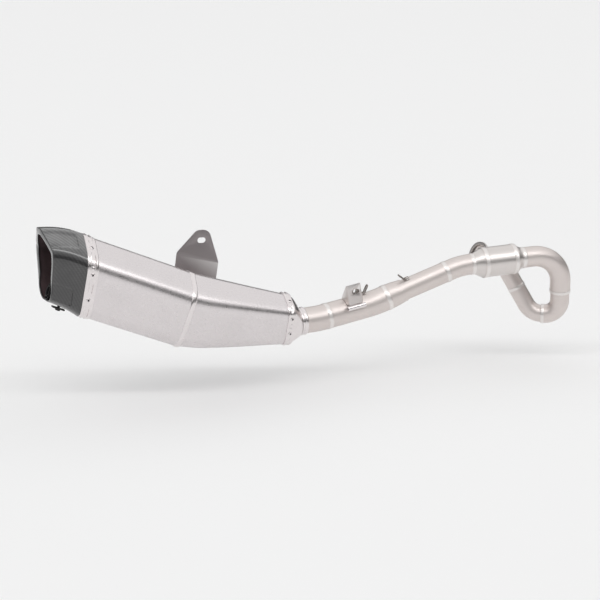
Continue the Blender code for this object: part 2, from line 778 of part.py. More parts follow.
def build_end_cap(pivot):
    skirt_inset = WALL + GAP
    stand = -GAP - BAND_WALL
    skirt_start = mix_stations(REAR_BAND_REAR, REAR_BAND_FRONT, SKIRT)
    outer = [
        section(skirt_start, skirt_inset),
        section(REAR_BAND_REAR, skirt_inset, GAP),
        section(REAR_BAND_REAR, stand, GAP),
        pull_top(section(CAP_MIDDLE), CAP_VISOR * 0.3),
        cap_rim(),
    ]
    inner = [
        section(skirt_start, skirt_inset + CAP_WALL),
        section(REAR_BAND_REAR, skirt_inset + CAP_WALL, GAP),
        pull_top(section(CAP_MIDDLE, CAP_WALL), CAP_VISOR * 0.3),
        cap_rim(CAP_WALL),
    ]
    return shell("end_cap", outer, inner, CARBON, pivot)


# ---------------------------------------------------------------- outlet, core, baffle and its screw

OUTLET_POINT = on_silencer(*OUTLET_END)
OUTLET_OUT = TAILWARD * math.cos(OUTLET_PITCH) + UP * math.sin(OUTLET_PITCH)
OUTLET_DOWN = TAILWARD * math.sin(OUTLET_PITCH) - UP * math.cos(OUTLET_PITCH)


def in_outlet(distance):
    return OUTLET_POINT - OUTLET_OUT * distance


def build_outlet(pivot, cap):
    near, far = OUTLET_SPAN
    profile = band_profile(-near, -far, OUTLET_R, OUTLET_R - WALL)
    tube = turned("outlet_tube", profile, pointing(OUTLET_POINT, OUTLET_OUT), BLACK, pivot, TURNED_SIDES)
    plate_rings = []
    hole_rings = []
    for share in PLATE_SHARES:
        station = mix_stations(REAR_BAND_REAR, CAP_MIDDLE, share)
        ring = section(station, CAP_WALL + WALL + GAP * 4)
        lean = math.radians(station[2])
        normal = TAILWARD * math.cos(lean) + UP * math.sin(lean)
        reach = (ring[0] - OUTLET_POINT).dot(normal) / OUTLET_OUT.dot(normal)
        plate_rings.append(ring)
        centre = OUTLET_POINT + OUTLET_OUT * reach
        hole_rings.append(circle_like(ring, centre, normal, OUTLET_R + GAP * 4))
    shell("outlet_plate", plate_rings, hole_rings, BLACK, pivot)
    middle = in_outlet(SCREW_PLACE) + OUTLET_DOWN * OUTLET_R
    for target, name in ((tube, "outlet_screw_hole"), (cap, "cap_screw_hole")):
        cut(target, drill(name, middle, OUTLET_DOWN, SCREW_R + GAP, OUTLET_R, 8))


def build_core(pivot):
    start = INLET + TAILWARD * CORE_START
    corner = in_outlet(CORE_CORNER)
    end = in_outlet(CORE_END)
    core = pipe("perforated_core", bend(start, corner, end, CORE_BEND), CORE_R, BAND, pivot, CORE_WALL)
    axis = (corner - start).normalized()
    side = axis.cross(UP).normalized()
    reach = (corner - start).length
    first, last = PERFORATION_SPAN
    for row in range(PERFORATION_ROWS):
        for angle in (PERFORATION_TURN, -PERFORATION_TURN):
            place = start + axis * reach * (first + (last - first) * row / (PERFORATION_ROWS - 1))
            direction = Matrix.Rotation(angle, 3, axis) @ side
            cut(core, drill("perforation", place, direction, PERFORATION_R, CORE_R * 3, 6))
    stations = (
        mix_stations(FRONT_BAND_REAR, KNEE, 0.04),
        KNEE,
        SEAM,
        mix_stations(SEAM, REAR_BAND_FRONT, 0.80),
    )
    outer = [section(station, WALL + GAP * 2) for station in stations]
    inner = []
    for station, ring in zip(stations, outer):
        lean = math.radians(station[2])
        normal = TAILWARD * math.cos(lean) + UP * math.sin(lean)
        centre = start + axis * ((ring[0] - start).dot(normal) / axis.dot(normal))
        inner.append(circle_like(ring, centre, normal, CORE_R + PACKING_GAP))
    shell("packing_wool", outer, inner, WOOL, pivot)


def build_baffle(pivot):
    placement = pointing(OUTLET_POINT, OUTLET_OUT)
    near, far = BAFFLE_CUP_SPAN
    lip = BAFFLE_PIPE_R + GAP
    cup = [
        (-near, BAFFLE_R),
        (-far, BAFFLE_R),
        (-far, BAFFLE_R - WALL),
        (-near - WALL * 2, BAFFLE_R - WALL),
        (-near - WALL * 2, lip),
        (-near, lip),
    ]
    turned("baffle_cup", cup, placement, BLACK, pivot)
    start, end = BAFFLE_PIPE_SPAN
    body = band_profile(-start, -end, BAFFLE_PIPE_R, BAFFLE_PIPE_R - WALL)
    turned("baffle_pipe", body, placement, BLACK, pivot)


def build_screw(pivot):
    """Set screw from below: its tip bears on the baffle's cup, its head seats on the boss."""
    start = BAFFLE_R + GAP
    seat = BOSS_SPAN[1] + GAP
    profile = [
        (seat + SCREW_HEAD, 0.0),
        (seat + SCREW_HEAD, SCREW_HEAD_R * 0.8),
        (seat + SCREW_HEAD * 0.5, SCREW_HEAD_R),
        (seat, SCREW_HEAD_R),
        (seat, SCREW_R),
        (start, SCREW_R),
        (start, 0.0),
    ]
    placement = pointing(in_outlet(SCREW_PLACE), OUTLET_DOWN)
    turned("baffle_screw", profile, placement, BLACK, pivot, 12, False)


def build_screw_boss(pivot):
    """Black strip under the cap that the screw runs through."""
    mesh = bpy.data.meshes.new("screw_boss")
    near, far = BOSS_SPAN
    size = Matrix.Diagonal((BOSS_LENGTH, BOSS_WIDTH, far - near, 1.0))
    bm = bmesh.new()
    bmesh.ops.create_cube(bm, size=1.0, matrix=size)
    bm.to_mesh(mesh)
    bm.free()
    boss = add_node("screw_boss", mesh, BLACK, pivot)
    place = in_outlet(SCREW_PLACE) + OUTLET_DOWN * (near + far) / 2
    across = OUTLET_DOWN.cross(OUTLET_OUT)
    boss.matrix_basis = frame_at(place, OUTLET_OUT, across, OUTLET_DOWN)
    edge = boss.modifiers.new("edge", "BEVEL")
    edge.width = BOSS_EDGE
    edge.segments = 1
    cut(boss, drill("boss_screw_hole", place, OUTLET_DOWN, SCREW_R + GAP, BOSS_WIDTH, 8))


def shoulder_corner(station):
    """The inboard shoulder of a section before its rounding, and the foot below it."""
    x, z, lean, width, height = station
    rise = UP * math.cos(math.radians(lean)) - TAILWARD * math.sin(math.radians(lean))
    middle = on_silencer(x, z)
    shoulder = middle - OUTBOARD * width / 2 + rise * (0.5 - SHOULDER_DROP) * height
    return shoulder, middle - OUTBOARD * FOOT_HALF_WIDTH * width - rise * height / 2


def build_hanger(pivot):
    """Inboard frame hanger: a plate with a slotted eye, creased at the shoulder; its foot is riveted on."""
    ahead = shoulder_corner(mix_stations(KNEE, FRONT_BAND_REAR, 0.25))[0]
    behind = shoulder_corner(SEAM)[0]
    shoulder, foot = shoulder_corner(KNEE)
    along = (behind - ahead).normalized()
    inboard = along.cross(UP).normalized()
    rise = inboard.cross(along)
    corner = shoulder + inboard * GAP * 2
    eye = on_silencer(*HANGER_EYE)
    level = -(along - UP * along.dot(UP)).normalized()

    def in_plate(forward, up):
        reach = eye + level * forward + UP * up - corner
        return Vector((reach.dot(along), reach.dot(rise)))

    sides = [in_plate(*side) for side in HANGER_SIDES]
    base = [Vector((HANGER_FOOT[0], -HANGER_FOOT_DEPTH)), Vector((HANGER_FOOT[1], -HANGER_FOOT_DEPTH))]
    corners = [*base, Vector((HANGER_CREASE[1], 0.0)), *sides, Vector((HANGER_CREASE[0], 0.0))]
    outline = [tuple(point) for arc in rounded_outline(corners, HANGER_ROUNDS, 4) for point in arc]
    slot = [tuple(in_plate(*point)) for point in slot_outline((0.0, 0.0), *HANGER_EYE_SIZE, 6)]
    fall = foot - shoulder
    tilt = math.atan2(-fall.dot(inboard), -fall.dot(rise))
    crease = ((0.0, 0.0, 0.0), (-1.0, 0.0, 0.0), -tilt)
    placement = frame_at(corner, along, rise, inboard)
    sheet_part("hanger_bracket", [outline, slot], [crease], placement, HANGER_SHEET, PLATE, pivot)
    down = -rise * math.cos(tilt) - inboard * math.sin(tilt)
    outward = down.cross(along)
    for number, (aft, depth) in enumerate(HANGER_RIVETS, 1):
        seat = corner + along * aft + down * depth + outward * HANGER_SHEET
        build_rivet(f"hanger_rivet_{number}", seat, outward, pivot)


# ---------------------------------------------------------------- assembly


def build():
    silencer = add_pivot("silencer_pivot", on_slip(SLIP_MOUTH))
    seal = add_pivot("slip_seal_pivot", on_slip(SLIP_MOUTH))
    baffle = add_pivot("baffle_pivot", OUTLET_POINT)
    screw = add_pivot("baffle_screw_pivot", in_outlet(SCREW_PLACE))

    build_port()
    build_header_tubes()
    build_chamber()
    build_mid_pipe()
    build_hook("header_spring_hook", on_slip(HEADER_HOOK), -SLIP_BACK, HEADER_R, HEADER_HOOK_TILT, 1, None)

    build_slip_joint(silencer, seal)
    build_link_pipe(silencer)
    link_forward = (LINK_CORNERS[0] - LINK_CORNERS[1]).normalized()
    link_place = at_x(LINK_CORNERS[0], LINK_CORNERS[1], LINK_HOOK_X)
    build_hook("link_spring_hook", link_place, link_forward, LINK_R, LINK_HOOK_TILT, -1, silencer)
    build_frame_bracket(silencer)

    build_inlet(silencer)
    build_sleeves(silencer)
    build_band("front_band", FRONT_BAND_FRONT, FRONT_BAND_REAR, silencer)
    build_band("rear_band", REAR_BAND_FRONT, REAR_BAND_REAR, silencer)
    cap = build_end_cap(silencer)
    build_outlet(silencer, cap)
    build_core(silencer)
    build_screw_boss(silencer)
    build_hanger(silencer)

    build_baffle(baffle)
    build_screw(screw)


build()
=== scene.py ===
"""Looks of the racing exhaust system: smooth metalwork, welds, embossed bands and a carbon cap.

Frame: origin at the centre of the exhaust port opening, +X forward, +Y inboard, +Z up, metres.
"""

import json
import math

import bmesh
import bpy
from mathutils import Matrix, Vector


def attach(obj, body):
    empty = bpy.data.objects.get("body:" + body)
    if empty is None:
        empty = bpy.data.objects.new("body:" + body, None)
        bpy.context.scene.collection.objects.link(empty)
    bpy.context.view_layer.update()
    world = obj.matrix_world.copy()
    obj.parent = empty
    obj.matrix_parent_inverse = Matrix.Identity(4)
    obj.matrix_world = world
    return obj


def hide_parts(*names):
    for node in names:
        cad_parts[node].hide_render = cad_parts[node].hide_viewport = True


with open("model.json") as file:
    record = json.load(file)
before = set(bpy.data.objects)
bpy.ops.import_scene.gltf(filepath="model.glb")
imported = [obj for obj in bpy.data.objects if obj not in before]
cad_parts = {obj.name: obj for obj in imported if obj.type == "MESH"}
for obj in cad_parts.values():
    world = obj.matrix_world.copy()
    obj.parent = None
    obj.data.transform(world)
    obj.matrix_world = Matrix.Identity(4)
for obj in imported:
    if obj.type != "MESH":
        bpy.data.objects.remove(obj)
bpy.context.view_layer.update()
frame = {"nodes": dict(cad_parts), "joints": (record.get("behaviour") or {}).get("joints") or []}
NODES = frame["nodes"]
JOINTS = {joint["name"]: joint for joint in frame["joints"]}

UP = Vector((0.0, 0.0, 1.0))

# The driving dimensions of the CAD model, repeated
WALL = 0.0012
GAP = 0.0003
HEADER_R = 0.0175
HEADER_STEPS = (0.0150, 0.0150, 0.0163, 0.0175)
CHAMBER_R = 0.0254
LINK_R = 0.0212
PORT_R = 0.0250
PORT_BORE_R = 0.0205
PORT_LENGTH = 0.018
PORT_NECK = 0.0018
PORT_RIM = 0.004
HEADER_CORNERS = (
    Vector((0.0, 0.0, 0.0)),
    Vector((0.050, 0.016, -0.013)),
    Vector((0.0995, -0.0050, -0.1045)),
    Vector((0.1425, -0.0270, -0.1045)),
    Vector((0.1320, -0.0490, 0.0085)),
    Vector((-0.050, -0.050, -0.005)),
)
HEADER_BENDS = (0.045, 0.032, 0.027, 0.054, 0.120)
HEADER_WELD_FRACTIONS = (0.46, 0.5, 0.53)
COLLAR_X = 0.0602
CHAMBER_FRONT_X = 0.0430
CHAMBER_REAR_X = -0.0091
NECK_X = -0.0305
MID_WELD = 0.028
SLIP_MOUTH = 0.1068
SLIP_REAR = 0.1387
SPIGOT_END = 0.150
SOCKET_OUTER = ((0.0, 0.0188), (0.005, 0.0192), (0.012, 0.0202), (0.022, 0.0209), (0.0316, 0.0212))
LINK_CORNERS = (
    Vector((-0.200, -0.050, -0.0612)),
    Vector((-0.300, -0.0655, -0.0790)),
    Vector((-0.332, -0.0703, -0.0810)),
)
LINK_BENDS = (0.120, 0.150)
LINK_WELD = 0.014
SILENCER_YAW = math.radians(9)
FRONT_BAND_FRONT = (-0.3555, -0.0738, 2.0, 0.073, 0.0800)
FRONT_BAND_REAR = (-0.3680, -0.0728, 3.5, 0.075, 0.0815)
KNEE = (-0.4920, -0.0520, 13.0, 0.097, 0.1110)
SEAM = (-0.5335, -0.0419, 15.9, 0.101, 0.1176)
REAR_BAND_FRONT = (-0.6790, 0.0185, 8.0, 0.103, 0.1215)
REAR_BAND_REAR = (-0.6950, 0.0252, 7.0, 0.103, 0.1230)
CAP_MIDDLE = (-0.7200, 0.0375, 4.0, 0.099, 0.1200)
CAP_RIM = (-0.7425, 0.0440, 1.0, 0.094, 0.1120)
TOP_HALF_WIDTH = 0.11
FOOT_HALF_WIDTH = 0.31
SHOULDER_DROP = 0.27
SECTION_ROUNDS = (0.17, 0.14, 0.14, 0.17, 0.24, 0.24)
SECTION_TIGHTNESS = (0.62, 0.75, 0.75, 0.85, 0.66, 0.66)
FULLNESS = 0.034
BAND_WALL = 0.0010
SEAM_HALF_WIDTH = 0.004
CAP_WALL = 0.0025
CAP_VISOR = 0.0085
CAP_RIM_CUT = math.radians(3)
COLLAR_WALL = 0.0016
OUTLET_END = (-0.745, 0.0040)
OUTLET_R = 0.0128
OUTLET_SPAN = (0.004, 0.056)
BAFFLE_R = OUTLET_R - WALL - 0.00006
BAFFLE_CUP_SPAN = (0.008, 0.042)
BAFFLE_PIPE_R = 0.0085
BAFFLE_PIPE_SPAN = (0.003, 0.100)
SCREW_PLACE = 0.0275
SCREW_HEAD_R = 0.0042
SCREW_HEAD = 0.0022
SCREW_R = 0.0022
BOSS_SPAN = (0.0192, 0.0216)
RIVET_R = 0.0030
RIVET_HEIGHT = 0.0012
HOOK_WIRE_R = 0.0012
HOOK_HALF_WIDTH = 0.0026
HOOK_RISE = 0.0115
HOOK_LEG = 0.0085
HEADER_HOOK = (0.1012, math.radians(14))
LINK_HOOK = (-0.2165, math.radians(5))
BRACKET_SHEET = 0.0020
BRACKET_X = -0.2425
BRACKET_HALF = 0.0110
BRACKET_FOOT = 0.0150
BRACKET_TOP = 0.0478
BRACKET_STAND = 0.0240
BRACKET_SLOT = (0.0018, 0.0355)
BRACKET_SLOT_SIZE = (0.0130, 0.0075)
NUT_R = 0.0072
NUT_BORE_R = 0.0032
NUT_HEIGHT = 0.0055
FOOT_TUBE_R = 0.0042
FOOT_TUBE_BORE_R = 0.0025
FOOT_TUBE_HALF = 0.0160
FOOT_TUBE_PLACE = (0.0096, 0.0249)
HANGER_SHEET = 0.0030
HANGER_EYE = (-0.4850, 0.0552)
HANGER_EYE_SIZE = (0.0140, 0.0092)
HANGER_SIDES = ((-0.0411, -0.0180), (-0.0073, 0.0165), (0.0125, 0.0165), (0.0273, -0.0370))
HANGER_CREASE = (-0.0245, 0.0455)
HANGER_FOOT = (-0.0205, 0.0400)
HANGER_FOOT_DEPTH = 0.0340
HANGER_ROUNDS = (0.008, 0.008, 0.004, 0.012, 0.0125, 0.0125, 0.010, 0.004)
HANGER_RIVETS = ((-0.0090, 0.0140), (0.0280, 0.0140), (0.0095, 0.0250))

# Fineness of the visual meshes
TUBE_SIDES = 72
TUBE_STEP = 0.0025
SECTION_STEPS = 22
FLAT_PARTS = (8, 4, 8, 24, 8, 24)

TAILWARD = Vector((-math.cos(SILENCER_YAW), -math.sin(SILENCER_YAW), 0.0))
OUTBOARD = Vector((math.sin(SILENCER_YAW), -math.cos(SILENCER_YAW), 0.0))
SLIP_BACK = Vector(JOINTS["slip_slide"]["axis"]).normalized()
OUTLET_OUT = Vector(JOINTS["baffle_slide"]["axis"]).normalized()
OUTLET_DOWN = Vector(JOINTS["baffle_screw_slide"]["axis"]).normalized()
INLET = LINK_CORNERS[-1]


# ---------------------------------------------------------------- node material helpers


class Graph:
    """A material's node tree with short calls for the nodes used here."""

    def __init__(self, name):
        self.material = bpy.data.materials.new(name)
        self.material.use_nodes = True
        self.nodes = self.material.node_tree.nodes
        self.links = self.material.node_tree.links
        self.shader = self.nodes["Principled BSDF"]
        self.uv = self.nodes.new("ShaderNodeTexCoord").outputs["UV"]
        self.place = self.nodes.new("ShaderNodeTexCoord").outputs["Object"]

    def wire(self, value, socket):
        if isinstance(value, bpy.types.NodeSocket):
            self.links.new(value, socket)
        else:
            socket.default_value = value

    def math(self, operation, first, second=0.0, third=0.0, clamp=False):
        node = self.nodes.new("ShaderNodeMath")
        node.operation = operation
        node.use_clamp = clamp
        for value, socket in zip((first, second, third), node.inputs):
            self.wire(value, socket)
        return node.outputs[0]

    def scaled(self, vector, scale):
        node = self.nodes.new("ShaderNodeMapping")
        self.wire(vector, node.inputs["Vector"])
        node.inputs["Scale"].default_value = scale
        return node.outputs[0]

    def noise(self, vector, scale, detail=2.0, roughness=0.5):
        node = self.nodes.new("ShaderNodeTexNoise")
        self.wire(vector, node.inputs["Vector"])
        node.inputs["Scale"].default_value = scale
        node.inputs["Detail"].default_value = detail
        node.inputs["Roughness"].default_value = roughness
        return node.outputs["Fac"]

    def spread(self, value, low, high, start=0.0, end=1.0):
        """Maps start..end to low..high, clamped."""
        node = self.nodes.new("ShaderNodeMapRange")
        self.wire(value, node.inputs["Value"])
        for name, amount in (("From Min", start), ("From Max", end), ("To Min", low), ("To Max", high)):
            node.inputs[name].default_value = amount
        return node.outputs[0]

    def mix(self, factor, first, second, blend="MIX"):
        node = self.nodes.new("ShaderNodeMix")
        node.data_type = "RGBA"
        node.blend_type = blend
        self.wire(factor, node.inputs["Factor"])
        for value, socket in ((first, node.inputs["A"]), (second, node.inputs["B"])):
            self.wire(value, [s for s in node.inputs if s.name == socket.name and s.type == "RGBA"][0])
        return [s for s in node.outputs if s.type == "RGBA"][0]

    def grey(self, value):
        node = self.nodes.new("ShaderNodeCombineColor")
        for socket in node.inputs:
            if socket.type == "VALUE":
                self.wire(value, socket)
        return node.outputs[0]

    def ramp(self, value, stops):
        node = self.nodes.new("ShaderNodeValToRGB")
        self.wire(value, node.inputs["Fac"])
        elements = node.color_ramp.elements
        while len(elements) < len(stops):
            elements.new(0.5)
        for element, (position, colour) in zip(elements, stops):
            element.position = position
            element.color = (*colour, 1.0)
        return node.outputs["Color"]

    def attribute(self, name):
        node = self.nodes.new("ShaderNodeAttribute")
        node.attribute_name = name
        return node.outputs["Fac"]

    def parts(self, vector):
        node = self.nodes.new("ShaderNodeSeparateXYZ")
        self.wire(vector, node.inputs[0])
        return node.outputs[0], node.outputs[1], node.outputs[2]

    def bump(self, height, strength, distance, under=None):
        node = self.nodes.new("ShaderNodeBump")
        node.inputs["Strength"].default_value = strength
        node.inputs["Distance"].default_value = distance
        self.wire(height, node.inputs["Height"])
        if under:
            self.links.new(under, node.inputs["Normal"])
        return node.outputs[0]

    def finish(self, colour, roughness, normal=None, metallic=0.0):
        self.wire(colour, self.shader.inputs["Base Color"])
        self.wire(roughness, self.shader.inputs["Roughness"])
        self.shader.inputs["Metallic"].default_value = metallic
        if normal:
            self.links.new(normal, self.shader.inputs["Normal"])
        return self.material


HEAT_STOPS = (
    (0.00, (1.00, 1.00, 1.00)),
    (0.22, (1.00, 0.97, 0.90)),
    (0.45, (0.98, 0.88, 0.68)),
    (0.62, (0.86, 0.68, 0.50)),
    (0.76, (0.66, 0.54, 0.60)),
    (0.88, (0.70, 0.70, 0.78)),
    (1.00, (0.98, 0.96, 0.95)),
)


def brushed_metal(name, colour, roughness, grain, edge_lightening=0.0):
    """Bare metal: fine scratches, faint mottling, finger marks and heat tint from the welds.
    Grain is how many scratch cells there are per metre along and round the piece."""
    g = Graph(name)
    scratches = g.noise(g.scaled(g.uv, (*grain, 1.0)), 1.0, 3.0, 0.6)
    mottle = g.noise(g.place, 22.0, 4.0, 0.55)
    marks = g.noise(g.place, 130.0, 3.0, 0.6)
    shade = g.math("MULTIPLY_ADD", scratches, 0.16, 0.92)
    shade = g.math("MULTIPLY", shade, g.spread(mottle, 0.97, 1.03, 0.30, 0.70))
    black_to_white = ((0.0, (0.0, 0.0, 0.0)), (1.0, (1.0, 1.0, 1.0)))
    body = g.mix(1.0, (*colour, 1.0), g.ramp(shade, black_to_white), "MULTIPLY")
    ragged = g.math("MULTIPLY_ADD", g.math("SUBTRACT", mottle, 0.5), 0.35, g.attribute("heat"))
    heat = g.math("MULTIPLY", ragged, g.math("GREATER_THAN", g.attribute("heat"), 0.001))
    body = g.mix(1.0, body, g.ramp(heat, HEAT_STOPS), "MULTIPLY")
    # Sharp convex edges are lightened towards a pale grey.
    if edge_lightening:
        edge = g.nodes.new("ShaderNodeNewGeometry").outputs["Pointiness"]
        body = g.mix(g.spread(edge, 0.0, edge_lightening, 0.52, 0.60), body, (0.86, 0.84, 0.83, 1.0))
    rough = g.spread(scratches, roughness - 0.03, roughness + 0.04, 0.30, 0.70)
    rough = g.math("ADD", rough, g.spread(marks, -0.012, 0.016, 0.35, 0.65))
    normal = g.bump(scratches, 0.12, 0.00006)
    return g.finish(body, rough, normal, 1.0)


def weld_metal():
    """Fused metal of a bead: pale crests and slightly darker, warmer valleys."""
    g = Graph("weld_bead_metal")
    crest = g.attribute("crest")
    grain = g.noise(g.place, 900.0, 3.0, 0.6)
    colour = g.ramp(crest, ((0.0, (0.62, 0.56, 0.53)), (0.5, (0.82, 0.78, 0.76)), (1.0, (0.92, 0.90, 0.89))))
    return g.finish(colour, g.spread(grain, 0.30, 0.42), g.bump(grain, 0.12, 0.0001), 1.0)


TOW = 0.0020


def carbon_weave():
    """Two-by-two twill of 2 mm tows under a clear coat, with painted sheen on the tows and painted light on
    faces turned upward; the trim is dressed black and the inner wall has a painted reddish-grey sheen.
    """
    g = Graph("carbon_twill")
    along, across, _ = g.parts(g.scaled(g.uv, (1.0 / TOW, 1.0 / TOW, 1.0)))
    column = g.math("FLOOR", along)
    row = g.math("FLOOR", across)
    phase = g.math("FLOORED_MODULO", g.math("SUBTRACT", column, row), 4.0)
    warp = g.math("LESS_THAN", phase, 1.5)
    lift_along = g.math("SINE", g.math("MULTIPLY", g.math("FRACT", along), math.pi))
    lift_across = g.math("SINE", g.math("MULTIPLY", g.math("FRACT", across), math.pi))
    over = g.math("MULTIPLY", warp, lift_across)
    under = g.math("MULTIPLY", g.math("SUBTRACT", 1.0, warp), lift_along)
    lift = g.math("ADD", over, under)
    fibre = g.noise(g.scaled(g.uv, (9000.0, 9000.0, 1.0)), 1.0, 2.0, 0.7)
    cloud = g.noise(g.place, 38.0, 2.0, 0.5)
    # The twill shows because the warp tows are painted lighter and each tow is lighter towards its crown:
    # painted sheen for the fibres' highlights. The fibre and cloud terms are random tone.
    tone = g.math("ADD", g.math("MULTIPLY", warp, 0.26), g.math("MULTIPLY", lift, 0.40))
    tone = g.math("ADD", tone, g.math("MULTIPLY", fibre, 0.14))
    tone = g.math("ADD", tone, g.spread(cloud, -0.10, 0.14, 0.35, 0.65))
    resin_and_sheen = ((0.0, (0.006, 0.006, 0.007)), (0.55, (0.026, 0.025, 0.026)), (1.0, (0.062, 0.058, 0.059)))
    weave = g.ramp(tone, resin_and_sheen)
    # Faces turned upward are lightened towards a grey made from the weave: painted light from above.
    _, _, upward = g.parts(g.nodes.new("ShaderNodeNewGeometry").outputs["Normal"])
    lit = g.math("MULTIPLY_ADD", tone, 0.22, 0.06)
    weave = g.mix(g.spread(upward, 0.0, 0.85, 0.35, 0.80), weave, g.grey(lit))
    colour = g.mix(g.attribute("trim"), weave, (0.010, 0.010, 0.011, 1.0))
    # The inner wall is coloured a lighter reddish grey: painted sheen for light falling in through the opening.
    painted_inner_sheen = g.mix(cloud, (0.105, 0.068, 0.072, 1.0), (0.165, 0.118, 0.122, 1.0))
    colour = g.mix(g.attribute("painted_inner_sheen"), colour, painted_inner_sheen)
    normal = g.bump(lift, 0.35, 0.0002)
    g.shader.inputs["Coat Weight"].default_value = 1.0
    g.shader.inputs["Coat Roughness"].default_value = 0.07
    g.shader.inputs["Coat IOR"].default_value = 1.6
    return g.finish(colour, g.spread(fibre, 0.32, 0.44), normal, 0.1)


def black_metal(name, roughness):
    g = Graph(name)
    speck = g.noise(g.place, 1400.0, 3.0, 0.6)
    patch = g.noise(g.place, 60.0, 3.0, 0.5)
    colour = g.ramp(patch, ((0.35, (0.012, 0.012, 0.013)), (0.70, (0.034, 0.031, 0.030))))
    rough = g.spread(speck, roughness - 0.08, roughness + 0.10)
    return g.finish(colour, rough, g.bump(speck, 0.25, 0.0001), 0.3)


def graphite():
    g = Graph("pressed_graphite")
    flake = g.noise(g.place, 2600.0, 4.0, 0.65)
    colour = g.ramp(flake, ((0.35, (0.030, 0.030, 0.033)), (0.70, (0.105, 0.105, 0.112))))
    return g.finish(colour, g.spread(flake, 0.50, 0.70), g.bump(flake, 0.35, 0.0001), 0.2)


def glass_wool():
    g = Graph("glass_wool")
    fibre = g.noise(g.scaled(g.place, (300.0, 2200.0, 2200.0)), 1.0, 5.0, 0.7)
    colour = g.ramp(fibre, ((0.3, (0.52, 0.45, 0.25)), (0.7, (0.86, 0.82, 0.66))))
    return g.finish(colour, g.spread(fibre, 0.85, 0.98), g.bump(fibre, 0.8, 0.0008))


def floor_paper():
    g = Graph("pale_floor")
    grain = g.noise(g.place, 5.0, 2.0, 0.5)
    colour = g.ramp(grain, ((0.0, (0.898, 0.898, 0.898)), (1.0, (0.902, 0.902, 0.902))))
    return g.finish(colour, g.spread(grain, 0.90, 0.94))


TUBE = brushed_metal("brushed_tube_steel", (0.735, 0.675, 0.65), 0.45, (2600.0, 90.0))
CHAMBER = brushed_metal("spun_chamber_steel", (0.73, 0.69, 0.67), 0.34, (3200.0, 60.0))
SLEEVE = brushed_metal("brushed_sleeve_titanium", (0.755, 0.715, 0.72), 0.28, (60.0, 3000.0))
BAND = brushed_metal("polished_band_steel", (0.82, 0.775, 0.775), 0.24, (3000.0, 120.0))
# The hanger plate's steel has a dark base colour: painted shade for the plate on the silencer's inboard side.
PLATE_PAINTED_SHADE = brushed_metal("bracket_plate_painted_shade", (0.32, 0.29, 0.293), 0.43, (2200.0, 70.0), 0.8)
CLIP = brushed_metal("pressed_bracket_steel", (0.62, 0.575, 0.56), 0.32, (2200.0, 70.0), 0.8)
WIRE = brushed_metal("drawn_hook_wire", (0.26, 0.235, 0.22), 0.32, (200.0, 2600.0))
WELD = weld_metal()
CARBON = carbon_weave()
BLACK = black_metal("black_outlet_steel", 0.40)
# Near-black steel for the rivets' stem hollows: painted shade.
RIVET_HOLE_SHADE = black_metal("rivet_hole_painted_shade", 0.55)
GRAPHITE = graphite()
WOOL = glass_wool()


# ---------------------------------------------------------------- mesh helpers


def show(obj, surface, body, slot_name, *replaced):
    """Gives a piece its material and body, and hides the CAD nodes that it stands for."""
    obj.data.materials.clear()
    obj.data.materials.append(surface)
    if obj.name not in bpy.context.scene.collection.objects:
        bpy.context.scene.collection.objects.link(obj)
    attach(obj, body)
    if replaced:
        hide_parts(*replaced)
    return obj


def skin(name, rings, loop=False, values=None, angle=32):
    """Mesh over closed rings of points, with UVs in metres and optional per-ring point values."""
    count = len(rings[0])
    points = [point for ring in rings for point in ring]
    spans = len(rings) if loop else len(rings) - 1
    faces = []
    for row in range(spans):
        after = (row + 1) % len(rings)
        for k in range(count):
            following = (k + 1) % count
            here, there = row * count, after * count
            faces.append((here + k, here + following, there + following, there + k))
    mesh = bpy.data.meshes.new(name)
    mesh.from_pydata(points, [], faces)
    along = [0.0]
    for row in range(spans):
        after = rings[(row + 1) % len(rings)]
        along.append(along[-1] + sum((a - b).length for a, b in zip(rings[row], after)) / count)
    widest = max(rings, key=lambda ring: (ring[0] - ring[count // 2]).length)
    round_it = [0.0]
    for k in range(count):
        round_it.append(round_it[-1] + (widest[(k + 1) % count] - widest[k]).length)
    layer = mesh.uv_layers.new(name="surface").data
    loop_index = 0
    for row in range(spans):
        for k in range(count):
            corners = ((row, k), (row, k + 1), (row + 1, k + 1), (row + 1, k))
            for step, column in corners:
                layer[loop_index].uv = (along[step], round_it[column])
                loop_index += 1
    for key, amounts in (values or {}).items():
        attribute = mesh.attributes.new(key, "FLOAT", "POINT")
        flat = amounts if len(amounts) == len(points) else [a for a in amounts for _ in range(count)]
        attribute.data.foreach_set("value", flat)
    bm = bmesh.new()
    bm.from_mesh(mesh)
    bmesh.ops.recalc_face_normals(bm, faces=bm.faces)
    bm.to_mesh(mesh)
    bm.free()
    mesh.shade_smooth()
    mesh.set_sharp_from_angle(angle=math.radians(angle))
    return bpy.data.objects.new(name, mesh)


def pointing(location, direction):
    return Matrix.Translation(location) @ direction.to_track_quat("Z", "Y").to_matrix().to_4x4()


def frame_at(location, forward, side, up):
    placement = Matrix((forward, side, up)).transposed().to_4x4()
    placement.translation = location
    return placement


def circle(placement, along, radius, sides):
    angles = [2 * math.pi * k / sides for k in range(sides)]
    return [placement @ Vector((radius * math.cos(a), radius * math.sin(a), along)) for a in angles]


def eased(profile, step):
    """The profile's pairs with long runs divided, so that values can vary along them."""
    points = [profile[0]]
    for (a, r), (b, s) in zip(profile, profile[1:]):
        parts = max(1, math.ceil(math.hypot(b - a, s - r) / step))
        points += [(a + (b - a) * k / parts, r + (s - r) * k / parts) for k in range(1, parts + 1)]
    return points


